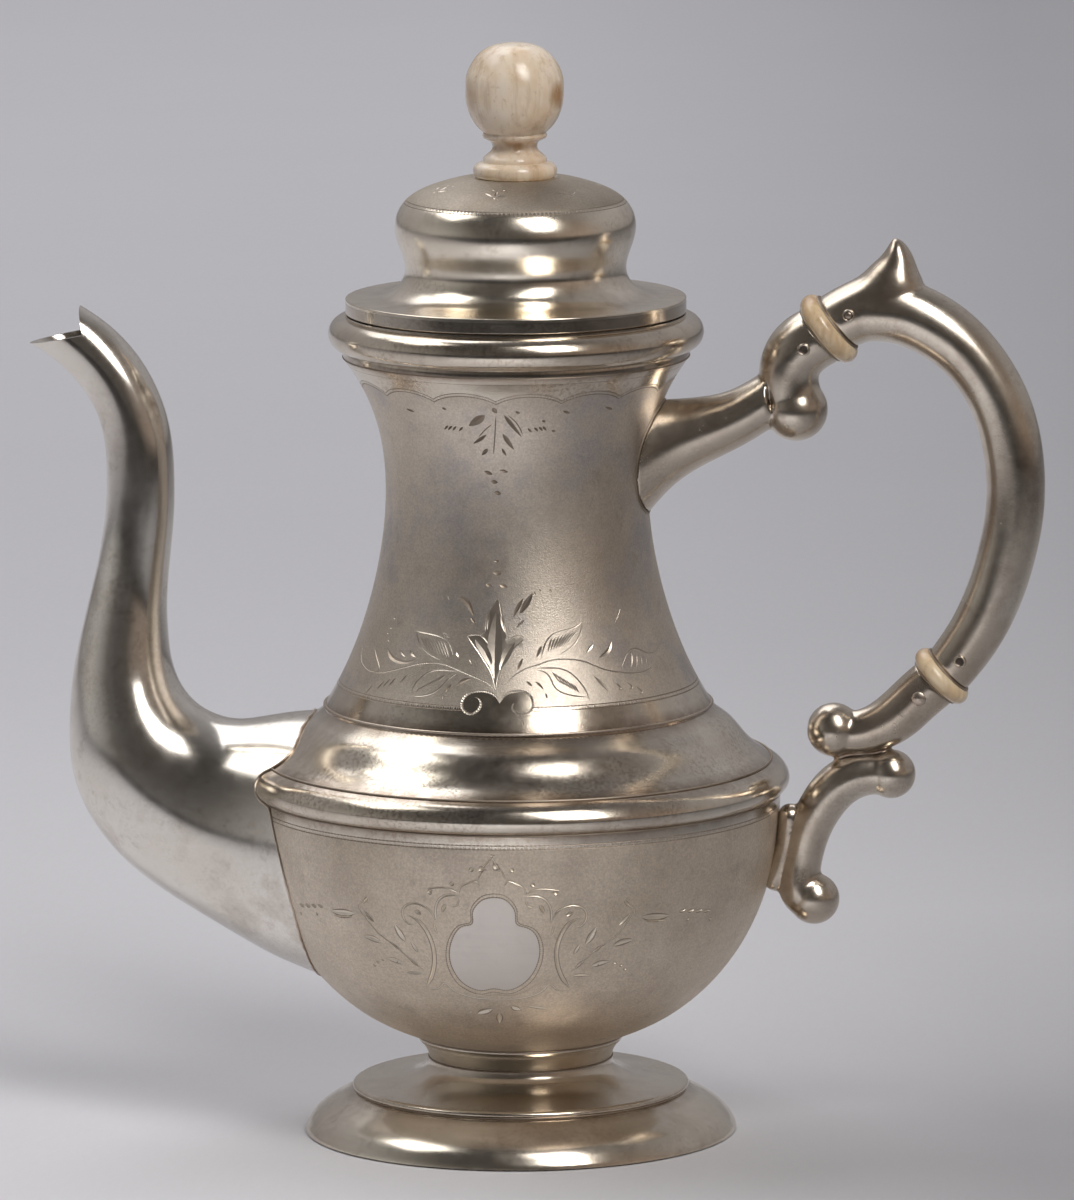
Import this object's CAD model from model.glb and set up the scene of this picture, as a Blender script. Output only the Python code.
import math

import bpy
import numpy as np
from mathutils import Matrix, Vector
from mathutils.geometry import delaunay_2d_cdt


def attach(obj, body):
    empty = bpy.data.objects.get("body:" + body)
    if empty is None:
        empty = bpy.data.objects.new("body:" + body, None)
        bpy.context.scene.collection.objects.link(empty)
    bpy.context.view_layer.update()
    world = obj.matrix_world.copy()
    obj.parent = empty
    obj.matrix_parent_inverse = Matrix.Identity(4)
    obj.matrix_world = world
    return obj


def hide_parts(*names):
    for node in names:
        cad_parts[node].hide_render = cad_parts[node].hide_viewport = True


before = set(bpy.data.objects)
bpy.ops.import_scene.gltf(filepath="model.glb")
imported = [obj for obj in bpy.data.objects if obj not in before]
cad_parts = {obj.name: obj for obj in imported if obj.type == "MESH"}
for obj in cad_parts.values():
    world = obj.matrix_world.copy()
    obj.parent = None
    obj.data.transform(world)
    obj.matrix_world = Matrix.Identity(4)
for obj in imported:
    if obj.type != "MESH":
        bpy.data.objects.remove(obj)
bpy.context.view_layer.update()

MM = 0.001
IMG_W, IMG_H = 1074.0, 1200.0

# ------------------------------------------------------------------ camera
FOCAL_PX = 11566.0
CAM = np.array([281.88, -2295.76, 481.10])
AIM = np.array([3.871, 0.475, 108.66])
ROLL = math.radians(-0.35)


def unit(v):
    v = np.asarray(v, float)
    return v / np.linalg.norm(v)


FWD = unit(AIM - CAM)
_r0 = unit(np.cross(FWD, (0, 0, 1)))
_u0 = np.cross(_r0, FWD)
RIGHT = math.cos(ROLL) * _r0 + math.sin(ROLL) * _u0
UP = -math.sin(ROLL) * _r0 + math.cos(ROLL) * _u0

cam_data = bpy.data.cameras.new("camera")
cam_data.sensor_fit = "AUTO"
cam_data.sensor_width = 36.0
cam_data.lens = 36.0 * FOCAL_PX / IMG_H
cam_data.clip_start, cam_data.clip_end = 0.05, 50.0
cam = bpy.data.objects.new("camera", cam_data)
bpy.context.scene.collection.objects.link(cam)
rot = Matrix((RIGHT, UP, -FWD)).transposed()
cam.matrix_world = Matrix.Translation(Vector(CAM * MM)) @ rot.to_4x4()
bpy.context.scene.camera = cam


def ray(px, py):
    return unit(FWD * FOCAL_PX + RIGHT * (px - IMG_W / 2) - UP * (py - IMG_H / 2))


# ------------------------------------------------------------------ dimensions, the same as the solids (mm)
SHEET, LID_SHEET = 0.9, 0.8
BOWL = [(0, 16.6), (5.5, 16.75), (11, 17.3), (16.5, 18.33), (20.9, 19.6), (24.4, 21.0), (28.05, 22.62),
        (31.53, 24.55), (34.8, 26.84), (37.84, 29.44), (40.62, 32.31), (43.13, 35.42), (45.35, 38.73),
        (47.27, 42.22), (48.9, 45.86), (50.23, 49.61), (51.29, 53.46), (52.07, 57.37), (52.62, 61.33),
        (52.94, 65.32), (53.08, 69.3), (53.1, 72.0)]
GIRDLE = [(51.34, 76.32), (53.2, 75.35), (54.5, 73.8), (54.95, 72.4), (54.6, 71.0), (53.2, 69.75)]
SHOULDER = [(39.3, 87.05), (41.5, 85.25), (43.3, 83.9), (44.55, 82.6), (45.95, 80.85), (47.95, 78.75),
            (49.5, 77.55), (51.3, 76.37)]
NECK = [(39.05, 87.85), (37.83, 90), (36.55, 92.3), (35.18, 95), (33.82, 98), (32.23, 102), (30.71, 106.5),
        (29.18, 112), (27.9, 118), (27.01, 124), (26.62, 129), (26.55, 133), (26.75, 137), (27.25, 141),
        (28.14, 145), (29.29, 148.5), (30.58, 151.5), (32.01, 154.2), (33.13, 156), (34.1, 157.4)]
COLLAR = [(20.9, 19.5), (20.95, 19.1), (20.7, 18.55), (20.15, 18.0), (19.5, 17.2), (19.0, 16.3), (18.75, 15.5),
          (18.65, 14.9)]
STEM = [(18.6, 14.85), (18.75, 13.9), (19.4, 12.8), (20.7, 11.8), (22.8, 10.95), (26, 10.35), (29.5, 10.02),
        (32.8, 9.85)]
SKIRT = [(33.6, 8.5), (34.6, 8.05), (36.4, 7.1), (38.4, 6.05), (40.3, 4.85), (41.75, 3.65), (42.7, 2.55),
         (43.4, 1.4), (43.8, 0.55), (43.9, 0)]
LID = [(34.15, 170.7), (30.0, 170.85), (27.99, 171.05), (26.31, 171.42), (24.65, 172.28), (23.32, 173.58),
       (22.51, 175.16), (22.32, 176.88), (22.63, 178.62), (23.21, 180.37), (23.81, 182.13), (24.23, 183.9),
       (24.3, 185.67), (23.94, 187.4), (23.14, 189.02), (21.95, 190.45), (20.51, 191.55), (18.92, 192.4),
       (17.25, 193.08), (15.54, 193.65), (13.81, 194.15), (12.05, 194.58), (10.26, 194.88), (8.6, 195.0)]
KNOB_LOW = [(7.9, 195.05), (8.4, 195.7), (8.46, 196.5), (8.2, 197.3), (7.5, 197.85), (6.45, 198.1)]
KNOB_MID = [(6.45, 198.1), (6.4, 198.8), (5.75, 199.6), (4.8, 200.4), (4.5, 201.2), (4.7, 202.0), (5.6, 202.65), (6.3, 203.0)]
KNOB_RING = [(6.3, 203.0), (6.5, 203.5), (6.25, 204.0)]
KNOB_BALL = [(6.25, 204.0), (7.3, 204.95), (8.73, 206.95), (9.62, 209.4), (9.94, 212.6), (9.72, 215.5), (8.78, 217.8),
             (6.95, 220.15), (4.0, 221.75), (0, 222.25)]
SPOUT = [((-36.0, 29.6), (-36.0, 85.3), 32.5), ((-40.5, 31.5), (-40.5, 85.2), 29.5),
         ((-48.4, 34.5), (-47.0, 84.75), 25.0), ((-60.0, 40.6), (-55.5, 83.4), 20.6),
         ((-72.0, 47.7), (-61.0, 83.75), 18.0), ((-81.05, 54.7), (-64.95, 85.5), 16.5),
         ((-87.6, 62.9), (-67.6, 87.8), 15.2), ((-91.1, 71.1), (-69.4, 90.4), 13.9),
         ((-92.05, 81.4), (-70.65, 93.6), 12.1), ((-91.5, 90.2), (-71.4, 97.2), 10.6),
         ((-90.4, 97.0), (-71.78, 101.8), 9.6), ((-88.05, 106.7), (-71.87, 107.9), 8.15),
         ((-85.7, 116.6), (-71.2, 116.0), 7.3), ((-84.2, 126.5), (-70.3, 125.0), 7.0),
         ((-83.85, 134.5), (-70.12, 133.6), 6.9), ((-84.7, 142.9), (-71.3, 144.6), 6.8),
         ((-87.7, 149.9), (-76.0, 155.8), 6.6), ((-92.64, 155.6), (-83.7, 164.4), 6.35),
         ((-96.3, 158.5), (-89.6, 168.3), 6.15), ((-101.6, 161.5), (-97.2, 172.2), 6.0)]
SPOUT_WALL = 1.0
BEAK_LIP, BEAK_NOTCH, BEAK_TONGUE = (-99.4, 160.3), (-87.7, 162.6), (-89.0, 168.0)
GRIP = [(67.9, 167.6, 6.2), (71.0, 168.5, 6.3), (74.8, 168.75, 6.4), (78.5, 168.2, 6.5),
        (82.0, 166.95, 6.5), (86.0, 164.75, 6.4), (89.7, 161.9, 6.2), (93.2, 158.1, 6.05), (96.1, 153.8, 6.0),
        (98.55, 148.5, 6.0), (100.2, 142.4, 6.0), (101.0, 136.2, 5.95), (101.05, 130.5, 5.9),
        (100.45, 125.0, 5.88), (99.35, 119.8, 5.85), (97.85, 114.4, 5.8), (95.95, 109.3, 5.72),
        (93.8, 104.8, 5.62), (91.1, 100.4, 5.5)]
HORN = [((61.33, 171.0), (68.87, 161.3), 6.15), ((63.6, 172.4), (72.0, 162.6), 6.2), ((66.6, 174.0), (76.6, 164.6), 6.15),
        ((69.7, 175.75), (81.0, 168.2), 5.8), ((72.1, 178.0), (82.7, 173.2), 4.9), ((74.1, 179.9), (81.4, 177.0), 3.7),
        ((75.35, 181.7), (80.3, 179.9), 2.7), ((75.9, 182.6), (79.5, 181.3), 1.9), ((76.3, 183.15), (78.5, 182.5), 1.2),
        ((76.65, 183.38), (77.7, 183.1), 0.55)]
UPPER_STUB = [((24.5, 150.4), (21.5, 120.5), 9.6), ((30.0, 150.1), (27.6, 128.0), 7.9),
              ((35.2, 150.45), (33.0, 133.5), 7.0), ((40.8, 151.3), (39.6, 137.6), 6.4),
              ((46.0, 153.4), (47.2, 141.6), 5.9), ((50.5, 156.2), (52.5, 145.0), 5.6)]
UPPER_RING = ((63.42, 164.85), (0.790, 0.613), 8.0, 4.2)
LOWER_RING = ((86.1, 94.3), (0.727, 0.686), 6.9, 3.7)
PIN_AT = 5.7


# ------------------------------------------------------------------ curves
class Spline:
    """Natural cubic spline through points, by chord length."""

    def __init__(self, pts):
        p = np.array(pts, float)
        d = np.linalg.norm(np.diff(p, axis=0), axis=1)
        t = np.concatenate([[0], np.cumsum(d)])
        n = len(p)
        A = np.zeros((n, n))
        B = np.zeros((n, p.shape[1]))
        A[0, 0] = A[-1, -1] = 1
        for i in range(1, n - 1):
            h0, h1 = t[i] - t[i - 1], t[i + 1] - t[i]
            A[i, i - 1], A[i, i], A[i, i + 1] = h0, 2 * (h0 + h1), h1
            B[i] = 6 * ((p[i + 1] - p[i]) / h1 - (p[i] - p[i - 1]) / h0)
        self.t, self.p, self.m = t, p, np.linalg.solve(A, B)

    def __call__(self, s):
        s = np.clip(np.asarray(s, float), 0, self.t[-1])
        i = np.clip(np.searchsorted(self.t, s, side="right") - 1, 0, len(self.t) - 2)
        h = self.t[i + 1] - self.t[i]
        a = ((self.t[i + 1] - s) / h)[..., None]
        b = ((s - self.t[i]) / h)[..., None]
        h = h[..., None]
        return (a * self.p[i] + b * self.p[i + 1] +
                ((a ** 3 - a) * self.m[i] + (b ** 3 - b) * self.m[i + 1]) * h * h / 6)

    def sample(self, n):
        return self(np.linspace(0, self.t[-1], n))


def curve(pts, step=0.45):
    s = Spline(pts)
    return s.sample(max(6, int(s.t[-1] / step)))


def straight(*pts):
    return np.array(pts, float)


def arc_pts(c, r, a0, a1, n=24):
    a = np.radians(np.linspace(a0, a1, n))
    return np.stack([c[0] + r * np.cos(a), c[1] + r * np.sin(a)], 1)


def offset(pts, t):
    p = np.array(pts, float)
    d = np.gradient(p, axis=0)
    d /= np.linalg.norm(d, axis=1)[:, None]
    return np.stack([p[:, 0] - d[:, 1] * t, p[:, 1] + d[:, 0] * t], 1)


# ------------------------------------------------------------------ meshes
def new_piece(name, verts, faces, mats, body, nodes, sharp=None, mat_index=None, normals=None, smooth=True):
    me = bpy.data.meshes.new(name)
    me.from_pydata([tuple(v) for v in np.asarray(verts) * MM], [], [tuple(int(i) for i in f) for f in faces])
    me.polygons.foreach_set("use_smooth", [smooth] * len(me.polygons))
    for m in mats:
        me.materials.append(m)
    if mat_index is not None:
        me.polygons.foreach_set("material_index", np.asarray(mat_index, np.int32))
    if sharp:
        at = me.attributes.new("sharp_edge", "BOOLEAN", "EDGE")
        keys = {tuple(sorted(e.vertices)): e.index for e in me.edges}
        flags = np.zeros(len(me.edges), bool)
        for a, b in sharp:
            k = keys.get((min(a, b), max(a, b)))
            if k is not None:
                flags[k] = True
        at.data.foreach_set("value", flags)
    me.update()
    if normals is not None:
        me.normals_split_custom_set([tuple(n) for n in normals])
    ob = bpy.data.objects.new(name, me)
    bpy.context.scene.collection.objects.link(ob)
    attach(ob, body)
    if nodes:
        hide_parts(*nodes)
    return ob


def lathe_mesh(segs, n=224, closed=True, base=0):
    """Rings of a profile made of smooth stretches; the corners between them are sharp."""
    pts, corner = [], set()
    for k, s in enumerate(segs):
        s = np.asarray(s, float)
        if pts and np.allclose(pts[-1], s[0], atol=1e-6):
            corner.add(len(pts) - 1)
            s = s[1:]
        pts.extend(list(s))
    if closed and np.allclose(pts[0], pts[-1], atol=1e-6):
        pts.pop()
        corner.add(0)
    pts = np.array(pts)
    ang = np.arange(n) * 2 * math.pi / n
    verts, index, sharp, faces = [], [], [], []
    for i, (r, z) in enumerate(pts):
        if r < 1e-6:
            index.append([base + len(verts)] * n)
            verts.append((0, 0, z))
        else:
            index.append([base + len(verts) + j for j in range(n)])
            verts.extend(np.stack([r * np.cos(ang), r * np.sin(ang), np.full(n, z)], 1))
            if i in corner:
                sharp.extend((index[-1][j], index[-1][(j + 1) % n]) for j in range(n))
    m = len(pts)
    for i in range(m if closed else m - 1):
        a, b = index[i], index[(i + 1) % m]
        pa, pb = pts[i][0] < 1e-6, pts[(i + 1) % m][0] < 1e-6
        if pa and pb:
            continue
        for j in range(n):
            k = (j + 1) % n
            if pa:
                faces.append((a[0], b[k], b[j]))
            elif pb:
                faces.append((a[j], a[k], b[0]))
            else:
                faces.append((a[j], a[k], b[k], b[j]))
    return np.array(verts), faces, sharp


def area_sign(segs):
    p = np.concatenate([np.asarray(s, float) for s in segs])
    x, z = p[:, 0], p[:, 1]
    return np.sum(x * np.roll(z, -1) - np.roll(x, -1) * z)


def lathe(name, segs, mats, body, nodes, n=224, place=None):
    if area_sign(segs) < 0:
        segs = [np.asarray(s)[::-1] for s in segs][::-1]
    v, f, sh = lathe_mesh(segs, n)
    if place is not None:
        (cx, cz), (dx, dz) = place
        # the profile's own axis turns to (dx, dz) in the plane Y = 0
        ex, ey, ez = np.array([dz, 0, -dx]), np.array([0, 1.0, 0]), np.array([dx, 0, dz])
        v = v[:, :1] * ex + v[:, 1:2] * ey + v[:, 2:3] * ez + np.array([cx, 0, cz])
    return new_piece(name, v, f, mats, body, nodes, sharp=sh)


def grid_faces(rows, cols, wrap=True, base=0):
    f = []
    for i in range(rows - 1):
        for j in range(cols if wrap else cols - 1):
            k = (j + 1) % cols
            f.append((base + i * cols + j, base + i * cols + k, base + (i + 1) * cols + k, base + (i + 1) * cols + j))
    return f


def tube_rings(path, n=72, step=0.6, first=None, last=None, round_end=None, round_start=None, swell=None):
    """Rings of a round bar along (x, z, radius); optional round ends and a swelling of the ring's top."""
    sp = Spline([(x, z) for x, z, r in path])
    m = max(8, int(sp.t[-1] / step))
    s = np.linspace(0, sp.t[-1], m)
    c = sp(s)
    rad = np.interp(s, sp.t, [q[2] for q in path])
    k = np.ones(9) / 9
    rad = np.convolve(np.pad(rad, 4, mode="edge"), k, mode="valid")
    d = np.gradient(c, axis=0)
    d /= np.linalg.norm(d, axis=1)[:, None]
    for end, way in ((0, first), (-1, last)):
        if way is not None:
            d[end] = way
    if first is not None:
        for i in range(1, 6):
            d[i] = unit(d[i] * (i / 6) + np.array(first) * (1 - i / 6))
    if last is not None:
        for i in range(1, 6):
            d[-1 - i] = unit(d[-1 - i] * (i / 6) + np.array(last) * (1 - i / 6))
    ctr, rads, dirs = list(c), list(rad), list(d)
    if round_end:
        for a in np.radians(np.linspace(6, 88, 18)):
            ctr.append(c[-1] + d[-1] * rad[-1] * math.sin(a))
            rads.append(rad[-1] * math.cos(a))
            dirs.append(d[-1])
    if round_start:
        for a in np.radians(np.linspace(6, 88, 18)):
            ctr.insert(0, c[0] - d[0] * rad[0] * math.sin(a))
            rads.insert(0, rad[0] * math.cos(a))
            dirs.insert(0, d[0])
    ctr, rads, dirs = np.array(ctr), np.array(rads), np.array(dirs)
    th = np.arange(n) * 2 * math.pi / n
    rings = []
    lift = np.zeros(len(ctr))
    if swell:
        lift = np.array([swell(cx, cz, r, -dz, dx) for (cx, cz), r, (dx, dz) in zip(ctr, rads, dirs)])
        lift = np.convolve(np.pad(lift, 2, mode="edge"), np.ones(5) / 5, mode="valid")
    for (cx, cz), r, (dx, dz), h in zip(ctr, rads, dirs, lift):
        nx, nz = -dz, dx
        q = np.where(np.cos(th) > 0, r + h, r) * np.cos(th)
        rings.append(np.stack([cx + nx * q, r * np.sin(th), cz + nz * q], 1))
    return np.array(rings)


def ring_mesh(rings):
    """Closed mesh from rings, with flat or pointed ends filled by fans."""
    m, n, _ = rings.shape
    v = rings.reshape(-1, 3)
    f = grid_faces(m, n)
    c0, c1 = rings[0].mean(0), rings[-1].mean(0)
    v = np.concatenate([v, [c0, c1]])
    sharp = []
    for j in range(n):
        k = (j + 1) % n
        f.append((m * n, k, j))
        f.append((m * n + 1, (m - 1) * n + j, (m - 1) * n + k))
        sharp.append((j, k))
        sharp.append(((m - 1) * n + j, (m - 1) * n + k))
    # outward faces
    p = np.array([v[list(t[:3])] for t in f[: n * 2]])
    mid = rings[:3].reshape(-1, 3).mean(0)
    nr = np.cross(p[:, 1] - p[:, 0], p[:, 2] - p[:, 0])
    if np.sum((p.mean(1) - mid) * nr) < 0:
        f = [tuple(reversed(t)) for t in f]
    return v, f, sharp


def ring_piece(name, rings, mats, body, nodes, slot):
    v, f, sharp = ring_mesh(rings)
    return new_piece(name, v, f, mats, body, nodes, sharp=sharp)


def ball_mesh(c, r, n=64):
    """Ball round a point of the plane Y = 0."""
    v, f, _ = lathe_mesh([arc_pts((0, 0), r, -90, 90, 40)], n, closed=False)
    v[np.hypot(v[:, 0], v[:, 1]) < 1e-6] *= np.array([0, 0, 1.0])
    return v + np.array([c[0], 0, c[1]]), f


def fuse(name, parts, mats, body, nodes, voxel=0.26, rounds=14, keep=None):
    """Soldered pieces melted into one skin with soft creases."""
    V, F = [], []
    for v, f in parts:
        base = len(V)
        V.extend(tuple(q) for q in v)
        F.extend(tuple(base + int(i) for i in q) for q in f)
    me = bpy.data.meshes.new("fuse_tmp")
    me.from_pydata(V, [], F)
    ob = bpy.data.objects.new("fuse_tmp", me)
    bpy.context.scene.collection.objects.link(ob)
    r = ob.modifiers.new("r", "REMESH")
    r.mode = "VOXEL"
    r.voxel_size = voxel
    sm = ob.modifiers.new("s", "SMOOTH")
    sm.factor, sm.iterations = 0.5, rounds
    got = bpy.data.meshes.new_from_object(ob.evaluated_get(bpy.context.evaluated_depsgraph_get()))
    v = np.zeros(len(got.vertices) * 3, np.float32)
    got.vertices.foreach_get("co", v)
    v = v.reshape(-1, 3).astype(float)
    f = [tuple(q.vertices) for q in got.polygons]
    bpy.data.objects.remove(ob)
    bpy.data.meshes.remove(me)
    bpy.data.meshes.remove(got)
    piece = new_piece(name, v, f, mats, body, nodes)
    mark_creases(piece.data, v, voxel)
    return piece


def mark_creases(me, v, step):
    """Writes how hollow the skin is at each point, for the tarnish that stays in creases."""
    e = np.zeros(len(me.edges) * 2, np.int32)
    me.edges.foreach_get("vertices", e)
    e = e.reshape(-1, 2)
    nrm = np.zeros(len(me.vertices) * 3, np.float32)
    me.vertices.foreach_get("normal", nrm)
    nrm = nrm.reshape(-1, 3)
    at_, to = np.concatenate([e[:, 0], e[:, 1]]), np.concatenate([e[:, 1], e[:, 0]])
    count = np.maximum(np.bincount(at_, minlength=len(v)), 1)

    def around(q):
        return np.bincount(at_, weights=q[to], minlength=len(v)) / count

    mid = np.stack([around(v[:, k]) for k in range(3)], 1)
    hollow = 4.0 * np.sum((mid - v) * nrm, 1) / step ** 2
    for _ in range(45):
        hollow = 0.5 * hollow + 0.5 * around(hollow)
    a = me.attributes.new("crease", "FLOAT", "POINT")
    a.data.foreach_set("value", np.clip(hollow, 0.0, 1.0).astype(np.float32))


# ------------------------------------------------------------------ materials
def material(name):
    m = bpy.data.materials.new(name)
    m.use_nodes = True
    nt = m.node_tree
    nt.nodes.clear()
    out = nt.nodes.new("ShaderNodeOutputMaterial")
    bsdf = nt.nodes.new("ShaderNodeBsdfPrincipled")
    nt.links.new(bsdf.outputs["BSDF"], out.inputs["Surface"])
    return m, nt, bsdf


def add(nt, kind, **kw):
    n = nt.nodes.new(kind)
    for k, v in kw.items():
        if k in n.inputs:
            n.inputs[k].default_value = v
        else:
            setattr(n, k, v)
    return n


def noise(nt, scale, detail=4.0, rough=0.55, stretch=None, seed=(0, 0, 0)):
    co = add(nt, "ShaderNodeTexCoord")
    mp = add(nt, "ShaderNodeMapping")
    mp.inputs["Location"].default_value = seed
    mp.inputs["Scale"].default_value = stretch or (1, 1, 1)
    nt.links.new(co.outputs["Object"], mp.inputs["Vector"])
    t = add(nt, "ShaderNodeTexNoise")
    t.inputs["Scale"].default_value = scale
    t.inputs["Detail"].default_value = detail
    t.inputs["Roughness"].default_value = rough
    nt.links.new(mp.outputs["Vector"], t.inputs["Vector"])
    return t


def ramp(nt, src, stops):
    r = add(nt, "ShaderNodeValToRGB")
    el = r.color_ramp.elements
    el[0].position, el[0].color = stops[0][0], stops[0][1]
    el[1].position, el[1].color = stops[-1][0], stops[-1][1]
    for p, c in stops[1:-1]:
        e = el.new(p)
        e.color = c
    nt.links.new(src, r.inputs["Fac"])
    return r


def grey(v):
    return (v, v, v, 1)


def mix(nt, a, b, fac, mode="MIX"):
    m = nt.nodes.new("ShaderNodeMix")
    m.data_type = "RGBA"
    m.blend_type = mode
    for sock, val in ((m.inputs[6], a), (m.inputs[7], b), (m.inputs[0], fac)):
        if isinstance(val, (tuple, list, float, int)):
            sock.default_value = val
        else:
            nt.links.new(val, sock)
    return m.outputs[2]


def silver(name, light, dark, r0, r1, grain, grain_scale, seed=(0, 0, 0), stain=0.35, patch=(0.42, 0.36, 0.31, 1), patchy=0.3,
           hair=0.06, speck=0.0, joints=(), crease=0.0, freckle=0.0):
    """Old silver: broad changes of tone, cloudy tarnish, small stains, hairlines round the body and a fine grain.

    joints: heights in mm beside which the tarnish was never rubbed off.
    """
    m, nt, b = material(name)
    b.inputs["Metallic"].default_value = 1.0
    big = noise(nt, 34.0, 5.0, 0.6, seed=seed)
    tone = ramp(nt, big.outputs["Fac"], [(0.36, light), (0.66, dark)])
    cloud = noise(nt, 62.0, 7.0, 0.68, seed=(seed[0] + 9.4, seed[1] + 0.7, seed[2] + 2.6))
    cmask = ramp(nt, cloud.outputs["Fac"], [(0.50, grey(0.0)), (0.64, grey(patchy))])
    col = mix(nt, tone.outputs["Color"], patch, cmask.outputs["Color"])
    spots = noise(nt, 190.0, 7.0, 0.72, seed=(seed[0] + 3.1, seed[1], seed[2]))
    mask = ramp(nt, spots.outputs["Fac"], [(0.56, grey(0.0)), (0.72, grey(stain))])
    col = mix(nt, col, (0.36, 0.285, 0.225, 1), mask.outputs["Color"])
    lines = noise(nt, 900.0, 3.0, 0.6, stretch=(0.03, 0.03, 1.0), seed=(seed[0], seed[1], seed[2] + 4.0))
    lmask = ramp(nt, lines.outputs["Fac"], [(0.48, grey(0.0)), (0.70, grey(hair))])
    col = mix(nt, col, (0.30, 0.25, 0.21, 1), lmask.outputs["Color"])
    if joints:
        hgt = add(nt, "ShaderNodeSeparateXYZ")
        nt.links.new(add(nt, "ShaderNodeTexCoord").outputs["Object"], hgt.inputs["Vector"])
        span = add(nt, "ShaderNodeMapRange")
        span.inputs["From Max"].default_value = 0.2
        nt.links.new(hgt.outputs["Z"], span.inputs["Value"])
        stops = []
        for z, half, much in joints:
            stops += [((z - half) / 200.0, grey(0.0)), (z / 200.0, grey(much)), ((z + half) / 200.0, grey(0.0))]
        band = ramp(nt, span.outputs["Result"], stops)
        crust = noise(nt, 260.0, 6.0, 0.7, seed=(seed[0] + 8.1, seed[1] + 3.4, seed[2]))
        cr = ramp(nt, crust.outputs["Fac"], [(0.32, grey(0.35)), (0.56, grey(1.0))])
        col = mix(nt, col, (0.30, 0.225, 0.17, 1), mix(nt, band.outputs["Color"], cr.outputs["Color"], 1.0, "MULTIPLY"))
    if crease:
        hol = add(nt, "ShaderNodeAttribute")
        hol.attribute_name = "crease"
        hm = ramp(nt, hol.outputs["Fac"], [(0.10, grey(0.0)), (0.42, grey(crease))])
        col = mix(nt, col, (0.25, 0.18, 0.13, 1), hm.outputs["Color"])
    if freckle:
        dots = noise(nt, 1300.0, 3.0, 0.6, seed=(seed[0] + 2.9, seed[1] + 6.1, seed[2]))
        dm = ramp(nt, dots.outputs["Fac"], [(0.48, grey(0.0)), (0.62, grey(1.0))])
        where = noise(nt, 46.0, 4.0, 0.6, seed=(seed[0] + 7.2, seed[1], seed[2] + 1.3))
        wm = ramp(nt, where.outputs["Fac"], [(0.46, grey(0.0)), (0.60, grey(freckle))])
        col = mix(nt, col, (0.33, 0.245, 0.18, 1), mix(nt, dm.outputs["Color"], wm.outputs["Color"], 1.0, "MULTIPLY"))
    frost = noise(nt, 2300.0, 2.0, 0.55, seed=(seed[0] + 6.6, seed[1] + 1.9, seed[2]))
    fmask = ramp(nt, frost.outputs["Fac"], [(0.34, grey(1.0 - speck)), (0.66, grey(1.0))])
    col = mix(nt, col, fmask.outputs["Color"], 1.0, "MULTIPLY")
    nt.links.new(col, b.inputs["Base Color"])
    fine = noise(nt, 300.0, 7.0, 0.65, seed=(seed[0], seed[1] + 5.3, seed[2]))
    rough = ramp(nt, fine.outputs["Fac"], [(0.3, grey(r0)), (0.7, grey(r1))])
    nt.links.new(rough.outputs["Color"], b.inputs["Roughness"])
    g = noise(nt, grain_scale, 2.0, 0.5, seed=(seed[0] + 1.7, 0, 0))
    wave = noise(nt, 60.0, 2.0, 0.4, seed=(0, seed[1] + 2.2, 0))
    bump = add(nt, "ShaderNodeBump")
    bump.inputs["Strength"].default_value = grain
    bump.inputs["Distance"].default_value = 0.00012
    nt.links.new(g.outputs["Fac"], bump.inputs["Height"])
    bump2 = add(nt, "ShaderNodeBump")
    bump2.inputs["Strength"].default_value = 0.05
    bump2.inputs["Distance"].default_value = 0.0012
    nt.links.new(wave.outputs["Fac"], bump2.inputs["Height"])
    nt.links.new(bump2.outputs["Normal"], bump.inputs["Normal"])
    nt.links.new(bump.outputs["Normal"], b.inputs["Normal"])
    return m


POLISHED = silver("silver_polished", (0.78, 0.72, 0.625, 1), (0.68, 0.595, 0.49, 1), 0.15, 0.23, 0.05, 2600.0, stain=0.45,
                  patch=(0.50, 0.415, 0.36, 1), patchy=0.45, hair=0.08, speck=0.06, freckle=0.50,
                  joints=((69.66, 1.4, 0.95), (76.4, 1.6, 0.9), (87.72, 2.3, 1.0), (158.78, 1.1, 0.9)))
SOFT = silver("silver_soft", (0.78, 0.72, 0.62, 1), (0.68, 0.595, 0.485, 1), 0.17, 0.24, 0.04, 2600.0, seed=(7.7, 0.4, 2.1), stain=0.40,
              patch=(0.50, 0.415, 0.36, 1), patchy=0.40, hair=0.06, speck=0.03, freckle=0.20,
              joints=((8.48, 1.3, 0.85), (14.87, 1.0, 0.8), (19.55, 1.1, 0.85), (171.2, 0.9, 0.5)))
LID_MAT = silver("silver_lid", (0.93, 0.86, 0.745, 1), (0.85, 0.76, 0.63, 1), 0.17, 0.24, 0.04, 2600.0, seed=(7.7, 0.4, 2.1), stain=0.40,
                 patch=(0.60, 0.50, 0.42, 1), patchy=0.40, hair=0.06, speck=0.03, freckle=0.20, joints=((171.2, 0.9, 0.5),))
SPOUT_MAT = silver("silver_spout", (0.88, 0.845, 0.785, 1), (0.80, 0.745, 0.67, 1), 0.14, 0.20, 0.03, 2600.0, seed=(5.1, 2.2, 3.7), stain=0.45,
                   patch=(0.54, 0.47, 0.40, 1), patchy=0.50, hair=0.04, speck=0.04, freckle=0.14)
HANDLE = silver("silver_handle", (0.74, 0.68, 0.59, 1), (0.60, 0.515, 0.42, 1), 0.20, 0.28, 0.06, 2600.0, seed=(2.4, 3.3, 1.1), stain=0.45,
                patch=(0.44, 0.355, 0.285, 1), patchy=0.50, hair=0.04, speck=0.08, crease=0.85, freckle=0.22)
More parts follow.
